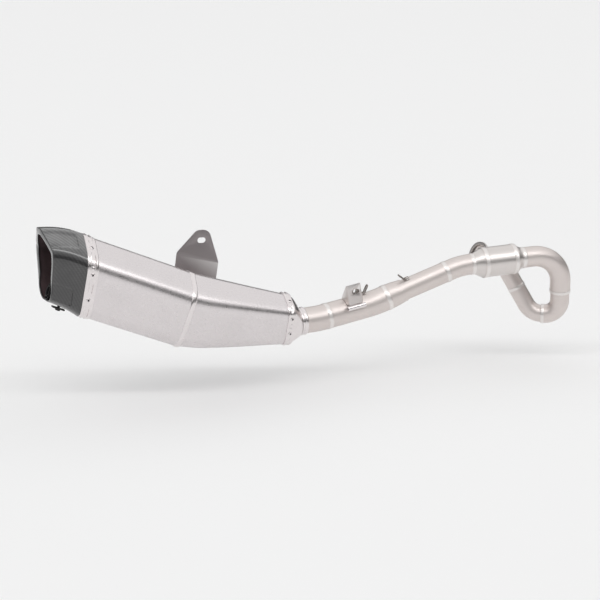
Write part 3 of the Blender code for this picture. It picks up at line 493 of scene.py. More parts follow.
def softened(profile, radius, steps=3):
    """The profile with each inner corner replaced by a small arc-like curve of about the radius."""
    points = [profile[0]]
    for before, corner, after in zip(profile, profile[1:], profile[2:]):
        arms = []
        for other in (before, after):
            length = math.hypot(other[0] - corner[0], other[1] - corner[1])
            share = min(radius / length, 0.45) if length else 0.0
            arms.append(tuple(c + (o - c) * share for c, o in zip(corner, other)))
        for k in range(steps + 1):
            t = k / steps
            weights = ((1 - t) ** 2, 2 * t * (1 - t), t * t)
            knots = (arms[0], corner, arms[1])
            points.append(tuple(sum(w * p[i] for w, p in zip(weights, knots)) for i in (0, 1)))
    points.append(profile[-1])
    return points


def turned(name, profile, placement, sides=96, heat=None, step=0.003):
    """A turned piece from closed (along, radius) pairs; heat is a function of the distance along."""
    pairs = eased(profile + [profile[0]], step)[:-1]
    rings = [circle(placement, along, max(radius, 1e-5), sides) for along, radius in pairs]
    values = {"heat": [heat(along) if heat else 0.0 for along, _ in pairs]}
    return skin(name, rings, True, values)


def bend(start, corner, end, radius):
    back = (start - corner).normalized()
    ahead = (end - corner).normalized()
    half = back.angle(ahead) / 2
    centre = corner + (back + ahead).normalized() * radius / math.sin(half)
    first = corner + back * radius / math.tan(half) - centre
    last = corner + ahead * radius / math.tan(half) - centre
    turn = math.pi - 2 * half
    steps = max(4, math.ceil(turn * radius / TUBE_STEP))
    axis = first.cross(last).normalized()
    arc = [centre + Matrix.Rotation(turn * k / steps, 3, axis) @ first for k in range(steps + 1)]
    return [start, *arc, end]


def bend_reach(before, corner, after, radius):
    return radius / math.tan((before - corner).angle(after - corner) / 2)


def toward(start, end, distance):
    return start + (end - start).normalized() * distance


def at_x(start, end, x):
    return start.lerp(end, (x - start.x) / (end.x - start.x))


def resampled(points, step):
    """The polyline with its long runs divided into steps."""
    result = [points[0]]
    for a, b in zip(points, points[1:]):
        parts = max(1, round((b - a).length / step))
        result += [a.lerp(b, k / parts) for k in range(1, parts + 1)]
    return result


def swept(points, sides, radius):
    """Rings square to a path, with no twist between them."""
    rings = []
    side = None
    for k, point in enumerate(points):
        ahead = points[min(k + 1, len(points) - 1)] - points[max(k - 1, 0)]
        ahead.normalize()
        if side is None:
            side = ahead.cross(UP).normalized()
        side = (side - ahead * side.dot(ahead)).normalized()
        over = ahead.cross(side)
        angles = [2 * math.pi * n / sides for n in range(sides)]
        rings.append([point + (side * math.cos(a) + over * math.sin(a)) * radius for a in angles])
    return rings


def pipe(name, route, radius, body, hot_start, hot_end, wall=WALL):
    """A smooth tube that replaces the CAD node of that name, tinted by the heat of the welds at its ends."""
    points = resampled(route, TUBE_STEP)
    outer = swept(points, TUBE_SIDES, radius)
    inner = swept(points, TUBE_SIDES, radius - wall)
    reach = [0.0]
    for a, b in zip(points, points[1:]):
        reach.append(reach[-1] + (b - a).length)
    heat = []
    for distance in reach:
        near = hot_start[0] * max(0.0, 1 - distance / hot_start[1])
        far = hot_end[0] * max(0.0, 1 - (reach[-1] - distance) / hot_end[1])
        heat.append(max(near, far))
    obj = skin(name + "_smooth", [*outer, *reversed(inner)], True, {"heat": [*heat, *reversed(heat)]})
    return show(obj, TUBE, body, "brushed_tube", name)


LOOP_WELD = 0.0068
BROAD_WELD = 0.0086


def weld_bead(name, centre, axis, radius, body, width=LOOP_WELD, height=0.0009, pitch=0.0019):
    """A ring of overlapping ripples, each a low crescent, along a circle square to the axis."""
    placement = pointing(centre, axis)
    ripples = round(2 * math.pi * radius / pitch)
    sides = ripples * 6
    across = 12
    rings = []
    crest = []
    for k in range(across + 1):
        share = 2 * k / across - 1
        ring = []
        for n in range(sides):
            angle = 2 * math.pi * n / sides
            beat = (n / 6 + 0.45 * share * share) % 1.0
            lift = math.sqrt(max(0.0, 1 - share * share))
            wander = 0.10 * math.sin(3 * angle + radius * 900) + 0.06 * math.sin(7 * angle)
            bulge = radius - 0.0002 + height * lift * (0.86 + 0.14 * math.sin(math.pi * beat))
            along = (share + 0.5 * wander * lift) * width / 2
            ring.append(placement @ Vector((bulge * math.cos(angle), bulge * math.sin(angle), along)))
            crest.append(lift * math.sin(math.pi * beat))
        rings.append(ring)
    obj = skin(name, rings, False, {"crest": crest}, 60)
    return show(obj, WELD, body, "satin_band")


# ---------------------------------------------------------------- silencer sections


def on_silencer(x, z):
    return Vector((x, INLET.y + (x - INLET.x) * math.tan(SILENCER_YAW), z))


def mix_stations(first, second, share):
    return tuple(a + (b - a) * share for a, b in zip(first, second))


def rise_of(station):
    lean = math.radians(station[2])
    return UP * math.cos(lean) - TAILWARD * math.sin(lean)


def section_corners(width, height):
    top = height / 2
    shoulder = top - SHOULDER_DROP * height
    return [
        Vector((width / 2, shoulder)),
        Vector((TOP_HALF_WIDTH * width, top)),
        Vector((-TOP_HALF_WIDTH * width, top)),
        Vector((-width / 2, shoulder)),
        Vector((-FOOT_HALF_WIDTH * width, -top)),
        Vector((FOOT_HALF_WIDTH * width, -top)),
    ]


def soft_corner(corners, k, width, inset):
    """Blend over a corner, through the same point as the CAD's arc there. Returns its points."""
    corner = corners[k]
    back = (corners[k - 1] - corner).normalized()
    ahead = (corners[(k + 1) % 6] - corner).normalized()
    half = back.angle(ahead) / 2
    radius = SECTION_ROUNDS[k] * width
    depth = radius * (1 / math.sin(half) - 1) + (FULLNESS * width if k == 0 else 0.0)
    tight = SECTION_TIGHTNESS[k]
    reach = depth / (2 * math.cos(half) * (0.5 - 0.375 * tight))
    inner = corner + (back + ahead).normalized() * inset / math.sin(half)
    points = []
    for step in range(SECTION_STEPS + 1):
        t = step / SECTION_STEPS
        near = (1 - t) ** 3 + 3 * t * (1 - t) ** 2 * (1 - tight)
        far = t**3 + 3 * t * t * (1 - t) * (1 - tight)
        points.append(inner + back * reach * near + ahead * reach * far)
    return points


def outline_of(width, height, inset=0.0):
    """Ring of the section's points in its own plane. Its outboard shoulder is fuller than the CAD's."""
    corners = section_corners(width, height)
    inward = ((corners[5] - corners[0]).normalized() + (corners[1] - corners[0]).normalized()).normalized()
    corners[0] = corners[0] - inward * FULLNESS * width
    blends = [soft_corner(corners, k, width, inset) for k in range(6)]
    outline = []
    for k, blend in enumerate(blends):
        after = blends[(k + 1) % 6][0]
        outline += blend
        outline += [blend[-1].lerp(after, part / FLAT_PARTS[k]) for part in range(1, FLAT_PARTS[k])]
    return outline


def section(station, inset=0.0, slip=0.0):
    """Fine ring of points round the silencer at a station, moved in by the inset and tailward by the slip."""
    x, z, _, width, height = station
    centre = on_silencer(x, z) + TAILWARD * slip
    rise = rise_of(station)
    return [centre + OUTBOARD * point.x + rise * point.y for point in outline_of(width, height, inset)]


def flat_index(corner, share):
    """Fractional place in a ring that faces a point between a corner of the section and the next."""
    corners = section_corners(*REAR_BAND_REAR[3:])
    target = corners[corner].lerp(corners[(corner + 1) % 6], share)
    return nearest_place(outline_of(*REAR_BAND_REAR[3:]), target)


def nearest_place(ring, target):
    """Fractional place in a ring of its point nearest to the target."""
    best = min(range(len(ring)), key=lambda k: (ring[k] - target).length)
    ahead = ring[(best + 1) % len(ring)] - ring[best]
    along = (target - ring[best]).dot(ahead) / ahead.length_squared
    if along >= 0:
        return best + min(along, 1.0)
    behind = ring[best - 1] - ring[best]
    return (best - min((target - ring[best]).dot(behind) / behind.length_squared, 1.0)) % len(ring)


def ring_point(ring, place):
    low = math.floor(place)
    return ring[low % len(ring)].lerp(ring[(low + 1) % len(ring)], place - low)


def middle_of(node):
    """Middle of a CAD node, in world space."""
    corners = [node.matrix_world @ Vector(corner) for corner in node.bound_box]
    return sum(corners, Vector()) / len(corners)


def girth(ring):
    """Distance round the ring to each of its points."""
    reach = [0.0]
    for a, b in zip(ring, ring[1:] + ring[:1]):
        reach.append(reach[-1] + (b - a).length)
    return reach


def pull_top(ring, amount):
    highest = max(point.z for point in ring)
    lowest = min(point.z for point in ring)
    shoulder = highest - SHOULDER_DROP * (highest - lowest)
    share = [max(0.0, (point.z - shoulder) / (highest - shoulder)) for point in ring]
    return [point + TAILWARD * amount * part for point, part in zip(ring, share)]


def cap_rim(inset=0.0):
    """Ring of the cap's rim: its top drawn tailward and its plane cut back towards the outboard side."""
    ring = pull_top(section(CAP_RIM, inset), CAP_VISOR)
    outermost = max(point.dot(OUTBOARD) for point in ring)
    return [point + TAILWARD * (outermost - point.dot(OUTBOARD)) * math.tan(CAP_RIM_CUT) for point in ring]


def smooth_station(knots, t):
    """Station at t along the knots (one unit each), on a smooth curve through them."""
    k = min(int(t), len(knots) - 2)
    u = t - k
    before, after = knots[max(k - 1, 0)], knots[min(k + 2, len(knots) - 1)]
    a, b = knots[k], knots[k + 1]
    run = b[0] - a[0]
    result = []
    for p0, p1, p2, p3, i in zip(before, a, b, after, range(len(a))):
        lead = (p2 - p0) * run / (b[0] - before[0]) if k > 0 else p2 - p1
        trail = (p3 - p1) * run / (after[0] - a[0]) if k + 2 < len(knots) else p2 - p1
        h = (2 * u**3 - 3 * u**2 + 1, u**3 - 2 * u**2 + u, -2 * u**3 + 3 * u**2, u**3 - u**2)
        result.append(h[0] * p1 + h[1] * lead + h[2] * p2 + h[3] * trail)
    return tuple(result)


def smoothstep(value):
    value = min(1.0, max(0.0, value))
    return value * value * (3 - 2 * value)


def outward(rings, row, k):
    """Outward direction of a skin at one point, from its neighbours."""
    ring = rings[row]
    round_it = ring[(k + 1) % len(ring)] - ring[k - 1]
    along = rings[min(row + 1, len(rings) - 1)][k] - rings[max(row - 1, 0)][k]
    normal = round_it.cross(along).normalized()
    middle = sum(ring, Vector()) / len(ring)
    return -normal if normal.dot(ring[k] - middle) < 0 else normal


# ---------------------------------------------------------------- header


def build_port():
    heading = (HEADER_CORNERS[1] - HEADER_CORNERS[0]).normalized()
    tube = HEADER_STEPS[0]
    neck = tube + PORT_NECK
    profile = [
        (0.0, PORT_R),
        (-PORT_RIM, PORT_R),
        (-PORT_RIM * 1.4, PORT_R - PORT_NECK),
        (-PORT_LENGTH * 0.67, neck),
        (-PORT_LENGTH, tube),
        (-PORT_LENGTH, tube - WALL),
        (-PORT_LENGTH * 0.67, neck - WALL),
        (-PORT_RIM * 1.5, PORT_BORE_R),
        (0.0, PORT_BORE_R),
    ]
    profile = softened([*profile, profile[0]], 0.0008)[:-1]
    ring = turned("port_collar_smooth", profile, pointing(HEADER_CORNERS[0], -heading), 96, lambda a: 0.35)
    show(ring, CHAMBER, "header", "brushed_chamber", "port_collar")


def build_header():
    corners = HEADER_CORNERS
    reach = [bend_reach(*corners[k - 1 : k + 2], HEADER_BENDS[k - 1]) for k in range(1, 5)]
    welds = []
    for k, share in enumerate(HEADER_WELD_FRACTIONS):
        leave = toward(corners[k + 1], corners[k + 2], reach[k])
        meet = toward(corners[k + 2], corners[k + 1], reach[k + 1])
        welds.append(leave.lerp(meet, share))
    collar = at_x(corners[4], corners[5], COLLAR_X)
    starts = [toward(corners[0], corners[1], PORT_LENGTH), *welds]
    ends = [*welds, collar]
    for k, (start, end) in enumerate(zip(starts, ends)):
        route = bend(start, corners[k + 1], end, HEADER_BENDS[k])
        pipe(f"header_tube_{k + 1}", route, HEADER_STEPS[k], "header", (0.62, 0.016), (0.62, 0.016))
    for k, weld in enumerate(welds):
        radius = max(HEADER_STEPS[k : k + 2])
        weld_bead(f"header_weld_{k + 1}", weld, corners[k + 2] - corners[k + 1], radius, "header")
    weld_bead("header_weld_port", starts[0], corners[1] - corners[0], HEADER_STEPS[0], "header")
    weld_bead("header_weld_collar", collar, corners[5] - corners[4], HEADER_R, "header", BROAD_WELD)


def build_chamber():
    front = at_x(*HEADER_CORNERS[4:6], CHAMBER_FRONT_X)
    forward = (HEADER_CORNERS[4] - HEADER_CORNERS[5]).normalized()
    placement = pointing(front, forward)
    collar = (COLLAR_X - CHAMBER_FRONT_X) / forward.x
    rear = (CHAMBER_REAR_X - CHAMBER_FRONT_X) / forward.x
    neck = (NECK_X - CHAMBER_FRONT_X) / forward.x
    step = CHAMBER_R - HEADER_R
    run = rear - neck
    cones = {
        "chamber_front_cone": [
            (collar, HEADER_R),
            (collar * 0.72, HEADER_R + 0.10 * step),
            (collar * 0.30, HEADER_R + 0.80 * step),
            (0.0, CHAMBER_R),
        ],
        "chamber_body": [(0.0, CHAMBER_R), (rear, CHAMBER_R)],
        "chamber_rear_cone": [
            (rear, CHAMBER_R),
            (rear - run * 0.25, HEADER_R + 0.90 * step),
            (rear - run * 0.80, HEADER_R + 0.12 * step),
            (neck, HEADER_R),
        ],
    }
    for name, outer in cones.items():
        outer = softened(outer, 0.006, 6)
        profile = [*outer, *((along, radius - WALL) for along, radius in reversed(outer))]
        ends = (outer[0][0], outer[-1][0])
        heat = lambda along, ends=ends: 0.60 * max(0.0, 1 - min(abs(along - end) for end in ends) / 0.010)
        shell = turned(name + "_smooth", profile, placement, 112, heat)
        show(shell, CHAMBER, "header", "brushed_chamber", name)
    for name, along in (("chamber_weld_front", 0.0), ("chamber_weld_rear", rear)):
        weld_bead(name, placement @ Vector((0, 0, along)), forward, CHAMBER_R, "header", BROAD_WELD)
    weld_bead("chamber_weld_neck", placement @ Vector((0, 0, neck)), forward, HEADER_R, "header", BROAD_WELD)


SLIP_START = HEADER_CORNERS[5]


def on_slip(distance):
    return SLIP_START + SLIP_BACK * distance


def build_mid_pipe():
    neck = at_x(*HEADER_CORNERS[4:6], NECK_X)
    weld = on_slip(MID_WELD)
    bent = bend(neck, SLIP_START, weld, HEADER_BENDS[4])
    pipe("mid_tube_1", bent, HEADER_R, "header", (0.62, 0.014), (0.55, 0.012))
    pipe("mid_tube_2", [weld, on_slip(SPIGOT_END)], HEADER_R, "header", (0.55, 0.012), (0.0, 0.01))
    weld_bead("mid_weld", weld, SLIP_BACK, HEADER_R, "header", BROAD_WELD)


# ---------------------------------------------------------------- hooks, slip joint, link pipe


def build_hook(name, place, forward, radius, tilt, lean, body):
    """Bent wire hook with small spot welds where its legs lie on the pipe."""
    side = forward.cross(UP).normalized()
    out = Matrix.Rotation(tilt, 3, forward) @ side.cross(forward)
    across = out.cross(forward)
    base = radius + GAP + HOOK_WIRE_R
    half = HOOK_HALF_WIDTH
    leg = HOOK_LEG * lean
    path = [
        (leg, 0.0, half),
        (leg * 0.5, 0.0, half),
        (0.0, 0.0, half),
        (-leg * 0.20, HOOK_RISE * 0.30, half),
        (-leg * 0.70, HOOK_RISE * 0.85, half),
        (-leg * 0.82, HOOK_RISE, half * 0.45),
        (-leg * 0.82, HOOK_RISE, -half * 0.45),
        (-leg * 0.70, HOOK_RISE * 0.85, -half),
        (-leg * 0.20, HOOK_RISE * 0.30, -half),
        (0.0, 0.0, -half),
        (leg * 0.5, 0.0, -half),
        (leg, 0.0, -half),
    ]
    points = [place + forward * a + out * (base + o) + across * c for a, o, c in path]
    smooth = [points[0]]
    for a, b, c in zip(points, points[1:], points[2:]):
        smooth += [b.lerp(a, 0.35), b.lerp(a, 0.12).lerp(b.lerp(c, 0.12), 0.5), b.lerp(c, 0.35)]
    smooth.append(points[-1])
    rings = swept(smooth, 16, HOOK_WIRE_R)
    for end, ring in ((points[0], rings[0]), (points[-1], rings[-1])):
        closed = [end.lerp(point, 0.02) for point in ring]
        rings = [closed, *rings] if ring is rings[0] else [*rings, closed]
    show(skin(name + "_smooth", rings, False, {"heat": [0.0] * len(rings)}), WIRE, body, "hook_wire", name)
    for number, offset in enumerate((half, -half), 1):
        seat = place + forward * leg * 0.72 + out * (base - HOOK_WIRE_R * 0.7) + across * offset
        weld_spot(f"{name}_spot_{number}", seat, forward, across, out, (0.0030, 0.0021, 0.0012), body)


def weld_spot(name, place, forward, across, out, size, body):
    """A small fused mound: a flattened dome with a rippled skirt."""
    placement = frame_at(place, forward, across, out)
    rings = []
    crest = []
    for row in range(9):
        height = math.sin(row / 8 * math.pi / 2)
        reach = math.cos(row / 8 * math.pi / 2)
        ring = []
        for k in range(32):
            angle = 2 * math.pi * k / 32
            ripple = 1 + 0.05 * math.sin(5 * angle + row)
            x = size[0] * max(reach, 0.02) * ripple * math.cos(angle)
            y = size[1] * max(reach, 0.02) * ripple * math.sin(angle)
            ring.append(placement @ Vector((x, y, size[2] * height)))
            crest.append(0.5 + 0.5 * math.sin(5 * angle + row))
        rings.append(ring)
    show(skin(name, rings, False, {"crest": crest}, 60), WELD, body, "satin_band")


def build_slip_joint():
    placement = pointing(on_slip(SLIP_MOUTH), -SLIP_BACK)
    outer = [(-distance, radius) for distance, radius in SOCKET_OUTER]
    bore = HEADER_R + 0.0002
    inner = [(along, max(bore, radius - WALL)) for along, radius in reversed(outer)]
    heat = lambda along: 0.68 * max(0.0, 1 - (along + SOCKET_OUTER[-1][0]) / 0.016)
    profile = softened([*outer, *inner, outer[0]], 0.0005, 2)[:-1]
    reducer = turned("slip_reducer_smooth", profile, placement, 96, heat, 0.0015)
    show(reducer, TUBE, "silencer", "brushed_tube", "slip_reducer")
    NODES["slip_seal"].data.materials.clear()
    NODES["slip_seal"].data.materials.append(GRAPHITE)


def build_link_pipe():
    first, second, end = LINK_CORNERS
    start = on_slip(SLIP_REAR)
    weld = toward(second, first, LINK_WELD)
    before = bend(start, first, weld, LINK_BENDS[0])
    pipe("link_tube_1", before, LINK_R, "silencer", (0.92, 0.016), (0.62, 0.014))
    after = bend(weld, second, end, LINK_BENDS[1])
    pipe("link_tube_2", after, LINK_R, "silencer", (0.62, 0.014), (0.66, 0.030))
    weld_bead("link_weld_front", start, SLIP_BACK, LINK_R, "silencer", BROAD_WELD)
    weld_bead("link_weld_rear", weld, second - first, LINK_R, "silencer", BROAD_WELD)


# ---------------------------------------------------------------- sheet brackets


def slot_outline(middle, width, height, steps=14):
    reach = (width - height) / 2
    points = []
    for side in (1, -1):
        for step in range(steps + 1):
            angle = math.pi * (step / steps - 0.5)
            across = middle[0] + side * (reach + math.cos(angle) * height / 2)
            points.append((across, middle[1] + side * math.sin(angle) * height / 2))
    return points


def rounded_outline(corners, radii, steps=12):
    points = []
    for k, corner in enumerate(corners):
        back = (corners[k - 1] - corner).normalized()
        ahead = (corners[(k + 1) % len(corners)] - corner).normalized()
        half = back.angle(ahead) / 2
        centre = corner + (back + ahead).normalized() * radii[k] / math.sin(half)
        arm = corner + back * radii[k] / math.tan(half) - centre
        for step in range(steps + 1):
            turn = Matrix.Rotation((math.pi - 2 * half) * step / steps, 2)
            points.append(tuple(centre + turn @ arm))
    return points


def flat_sheet(name, outlines):
    """Filled flat sheet from outlines, as a welded mesh."""
    curve = bpy.data.curves.new(name, "CURVE")
    curve.dimensions = "2D"
    curve.fill_mode = "BOTH"
    for outline in outlines:
        spline = curve.splines.new("POLY")
        spline.points.add(len(outline) - 1)
        for knot, (across, high) in zip(spline.points, outline):
            knot.co = (across, high, 0.0, 1.0)
        spline.use_cyclic_u = True
    helper = bpy.data.objects.new(name + "_outline", curve)
    bpy.context.scene.collection.objects.link(helper)
    bpy.context.view_layer.update()
    mesh = bpy.data.meshes.new_from_object(helper.evaluated_get(bpy.context.evaluated_depsgraph_get()))
    bpy.data.objects.remove(helper)
    return mesh


def fold(mesh, corner, crease, angle, radius=0.0):
    """Bends the sheet about a crease line in small turns: all on its left side moves."""
    aside = UP.cross(crease)
    bm = bmesh.new()
    bm.from_mesh(mesh)
    bmesh.ops.remove_doubles(bm, verts=bm.verts, dist=1e-6)
    turns = 4 if radius else 1
    for turn in range(turns):
        line = corner + aside * radius * (turn / turns - 0.5)
        geometry = [*bm.verts, *bm.edges, *bm.faces]
        bmesh.ops.bisect_plane(bm, geom=geometry, dist=1e-6, plane_co=line, plane_no=aside)
    for turn in reversed(range(turns)):
        line = corner + aside * radius * (turn / turns - 0.5)
        moved = [vert for vert in bm.verts if (vert.co - line).dot(aside) > 1e-6]
        bmesh.ops.rotate(bm, verts=moved, cent=line, matrix=Matrix.Rotation(angle / turns, 3, crease))
    bm.to_mesh(mesh)
    bm.free()


def sheet_piece(name, outlines, folds, placement, thickness, surface, radius):
    """Sheet metal bracket with rounded creases and softened edges; replaces the CAD node of that name."""
    mesh = flat_sheet(name, outlines)
    for corner, crease, angle in folds:
        fold(mesh, Vector(corner), Vector(crease), angle, radius)
    flat_uv(mesh)
    obj = bpy.data.objects.new(name + "_smooth", mesh)
    bpy.context.scene.collection.objects.link(obj)
    obj.matrix_world = placement
    sheet = obj.modifiers.new("sheet", "SOLIDIFY")
    sheet.thickness = thickness
    sheet.offset = 1.0
    sheet.use_even_offset = True
    edge = obj.modifiers.new("edge", "BEVEL")
    edge.width = thickness * 0.16
    edge.segments = 3
    edge.limit_method = "ANGLE"
    edge.angle_limit = math.radians(50)
    mesh.shade_smooth()
    mesh.set_sharp_from_angle(angle=math.radians(30))
    show(obj, surface, "silencer", "bracket_steel", name)
    return obj


def flat_uv(mesh):
    """UVs in metres: height as the first axis, so that the grain runs level."""
    layer = mesh.uv_layers.new(name="surface").data
    for polygon in mesh.polygons:
        for index in polygon.loop_indices:
            point = mesh.vertices[mesh.loops[index].vertex_index].co
            layer[index].uv = (point.y, point.x + point.z)
    heat = mesh.attributes.new("heat", "FLOAT", "POINT")
    heat.data.foreach_set("value", [0.0] * len(mesh.vertices))


def build_frame_bracket():
    first, second = LINK_CORNERS[:2]
    forward = (first - second).normalized()
    side = forward.cross(UP).normalized()
    rise = side.cross(forward)
    base = at_x(first, second, BRACKET_X)
    saddle = LINK_R + GAP * 2
    back = BRACKET_HALF + BRACKET_STAND
    angles = [math.radians(92 - 2.75 * step) for step in range(21)]
    arc = [(back - saddle * math.cos(angle), saddle * math.sin(angle)) for angle in angles]
    arc = [point for point in arc if point[1] >= BRACKET_FOOT]
    gusset = (arc[0][0], arc[0][1] + 0.002)
    right = [(BRACKET_HALF, BRACKET_FOOT), *reversed(arc), gusset, (BRACKET_HALF, BRACKET_TOP)]
    left = [(-along, high) for along, high in reversed(right)]
    creases = [
        ((BRACKET_HALF, 0.0, 0.0), (0.0, -1.0, 0.0), -math.pi / 2),
        ((-BRACKET_HALF, 0.0, 0.0), (0.0, 1.0, 0.0), -math.pi / 2),
    ]
    placement = frame_at(base + side * BRACKET_STAND, forward, rise, side)
    outlines = [[*right, *left], slot_outline(BRACKET_SLOT, *BRACKET_SLOT_SIZE)]
    sheet_piece("frame_bracket", outlines, creases, placement, BRACKET_SHEET, CLIP, 0.0012)
    along, high = BRACKET_SLOT
    seat = base + forward * along + rise * high + side * (BRACKET_STAND - GAP)
    build_nut("frame_bracket_nut", pointing(seat, side))
    high, stand = FOOT_TUBE_PLACE
    tube = [
        (FOOT_TUBE_HALF, FOOT_TUBE_R),
        (-FOOT_TUBE_HALF, FOOT_TUBE_R),
        (-FOOT_TUBE_HALF, FOOT_TUBE_BORE_R),
        (FOOT_TUBE_HALF, FOOT_TUBE_BORE_R),
    ]
    tube = softened([*tube, tube[0]], 0.0004, 3)[:-1]
    spot = base + side * stand + rise * high
    foot = turned("frame_bracket_tube_smooth", tube, pointing(spot, forward), 48, lambda a: 0.30)
    show(foot, BAND, "silencer", "satin_band", "frame_bracket_tube")
    for number, place in enumerate((-0.62, 0.62), 1):
        seat = spot + forward * FOOT_TUBE_HALF * place - side * FOOT_TUBE_R * 0.35 - rise * FOOT_TUBE_R * 0.80
        weld_spot(f"bracket_spot_{number}", seat, forward, side, -rise, (0.0052, 0.0022, 0.0011), "silencer")


def build_nut(name, placement):
    """Hexagon nut with chamfered corners and a bore."""
    rings = []
    for along, radius, round_share in (
        (0.0, NUT_BORE_R, 1.0),
        (0.0, NUT_R * 0.90, 1.0),
        (-0.0006, NUT_R, 0.0),
        (-NUT_HEIGHT + 0.0006, NUT_R, 0.0),
        (-NUT_HEIGHT, NUT_R * 0.90, 1.0),
        (-NUT_HEIGHT, NUT_BORE_R, 1.0),
    ):
        ring = []
        for k in range(72):
            angle = 2 * math.pi * k / 72
            flat = math.cos(math.pi / 6) / math.cos((angle % (math.pi / 3)) - math.pi / 6)
            reach = radius * (round_share + (1 - round_share) * flat)
            ring.append(placement @ Vector((reach * math.cos(angle), reach * math.sin(angle), along)))
        rings.append(ring)
    obj = skin(name + "_smooth", rings, True, {"heat": [0.0] * len(rings)})
    # The nut takes the dark hook-wire steel so that the slot in front of it reads dark: painted shade.
    show(obj, WIRE, "silencer", "satin_band", name)


def build_hanger():
    ahead = shoulder_corner(mix_stations(KNEE, FRONT_BAND_REAR, 0.25))[0]
    behind = shoulder_corner(SEAM)[0]
    shoulder, foot = shoulder_corner(KNEE)
    along = (behind - ahead).normalized()
    inboard = along.cross(UP).normalized()
    rise = inboard.cross(along)
    corner = shoulder + inboard * GAP * 2
    eye = on_silencer(*HANGER_EYE)
    level = -(along - UP * along.dot(UP)).normalized()

    def in_plate(forward, up):
        reach = eye + level * forward + UP * up - corner
        return Vector((reach.dot(along), reach.dot(rise)))

    sides = [in_plate(*side) for side in HANGER_SIDES]
    base = [Vector((reach, -HANGER_FOOT_DEPTH)) for reach in HANGER_FOOT]
    corners = [*base, Vector((HANGER_CREASE[1], 0.0)), *sides, Vector((HANGER_CREASE[0], 0.0))]
    outline = rounded_outline(corners, HANGER_ROUNDS)
    slot = [tuple(in_plate(*point)) for point in slot_outline((0.0, 0.0), *HANGER_EYE_SIZE)]
    fall = foot - shoulder
    tilt = math.atan2(-fall.dot(inboard), -fall.dot(rise))
    crease = ((0.0, 0.0, 0.0), (-1.0, 0.0, 0.0), -tilt)
    placement = frame_at(corner, along, rise, inboard)
    # The plate takes the darkened steel: painted shade.
    sheet_piece("hanger_bracket", [outline, slot], [crease], placement, HANGER_SHEET, PLATE_PAINTED_SHADE, 0.004)
    down = -rise * math.cos(tilt) - inboard * math.sin(tilt)
    normal = down.cross(along)
    for number, (aft, depth) in enumerate(HANGER_RIVETS, 1):
        seat = corner + along * aft + down * depth + normal * HANGER_SHEET
        build_rivet(f"hanger_rivet_{number}", seat, normal)


def shoulder_corner(station):
    x, z, _, width, height = station
    rise = rise_of(station)
    middle = on_silencer(x, z)
    shoulder = middle - OUTBOARD * width / 2 + rise * (0.5 - SHOULDER_DROP) * height
    return shoulder, middle - OUTBOARD * FOOT_HALF_WIDTH * width - rise * height / 2


# ---------------------------------------------------------------- silencer


def build_rivet(name, seat, normal):
    """Blind rivet: a thin flange, a low dome and a shallow near-black well, painted shade in the hollow that
    its stem left.
    """
    placement = pointing(seat + normal * GAP * 0.5, normal)
    dome = [
        (0.0, RIVET_R * 1.12),
        (RIVET_HEIGHT * 0.30, RIVET_R * 1.10),
        (RIVET_HEIGHT * 0.75, RIVET_R * 0.85),
        (RIVET_HEIGHT, RIVET_R * 0.58),
        (RIVET_HEIGHT * 0.80, RIVET_R * 0.50),
        (-RIVET_HEIGHT * 0.2, RIVET_R * 0.46),
        (-RIVET_HEIGHT * 0.2, RIVET_R * 0.30),
        (0.0, RIVET_R * 0.30),
    ]
    dome = softened([*dome, dome[0]], 0.0003, 3)[:-1]
    show(turned(name + "_smooth", dome, placement, 40), BAND, "silencer", "bracket_steel", name)
    # The well is painted near black: painted shade in the stem's hollow.
    floor = RIVET_HEIGHT * 0.25
    well = [(floor, 0.0), (floor, RIVET_R * 0.48), (0.0, RIVET_R * 0.50), (0.0, 0.0)]
    show(turned(name + "_well", well, placement, 32), RIVET_HOLE_SHADE, "silencer", "black_steel")


def build_inlet():
    axis = (LINK_CORNERS[2] - LINK_CORNERS[1]).normalized()
    low, high = LINK_R + GAP, LINK_R + GAP + COLLAR_WALL
    collar = [
        (0.0060, low),
        (0.0060, low + 0.0006),
        (0.0046, high),
        (0.0022, high),
        (0.0010, low + 0.0007),
        (-0.0004, low + 0.0007),
        (-0.0016, high),
        (-0.0040, high),
        (-0.0050, low + 0.0006),
        (-0.0050, low),
    ]
    collar = softened([*collar, collar[0]], 0.0006, 3)[:-1]
    ring = turned("inlet_collar_smooth", collar, pointing(INLET, -axis), 112, lambda a: 0.30, 0.001)
    show(ring, BAND, "silencer", "satin_band", "inlet_collar")
    face = section(FRONT_BAND_FRONT, WALL)
    start = INLET + axis * (0.0050 + GAP)
    arms = [(point - start) - axis * (point - start).dot(axis) for point in face]
    throat = [start + arm.normalized() * (LINK_R + 0.0015) for arm in arms]
    rings = []
    for k in range(25):
        share = k / 24
        spread = smoothstep(share) * 0.55 + share * 0.45
        dome = math.sin(share * math.pi) * 0.0028
        rings.append([a.lerp(b, spread) - axis * dome for a, b in zip(throat, face)])
    inner = [[point + axis * WALL for point in ring] for ring in rings]
    cap = skin("inlet_cap_smooth", [*rings, *reversed(inner)], True, {"heat": [0.0] * 50})
    show(cap, BAND, "silencer", "satin_band", "inlet_cap")


def build_sleeve(name, knots, rows):
    stations = [smooth_station(knots, (len(knots) - 1) * row / rows) for row in range(rows + 1)]
    outer = [section(station) for station in stations]
    inner = [section(station, WALL) for station in stations]
    obj = skin(name + "_smooth", [*outer, *reversed(inner)], True, {"heat": [0.0] * (2 * rows + 2)}, 60)
    show(obj, SLEEVE, "silencer", "brushed_sleeve", name)


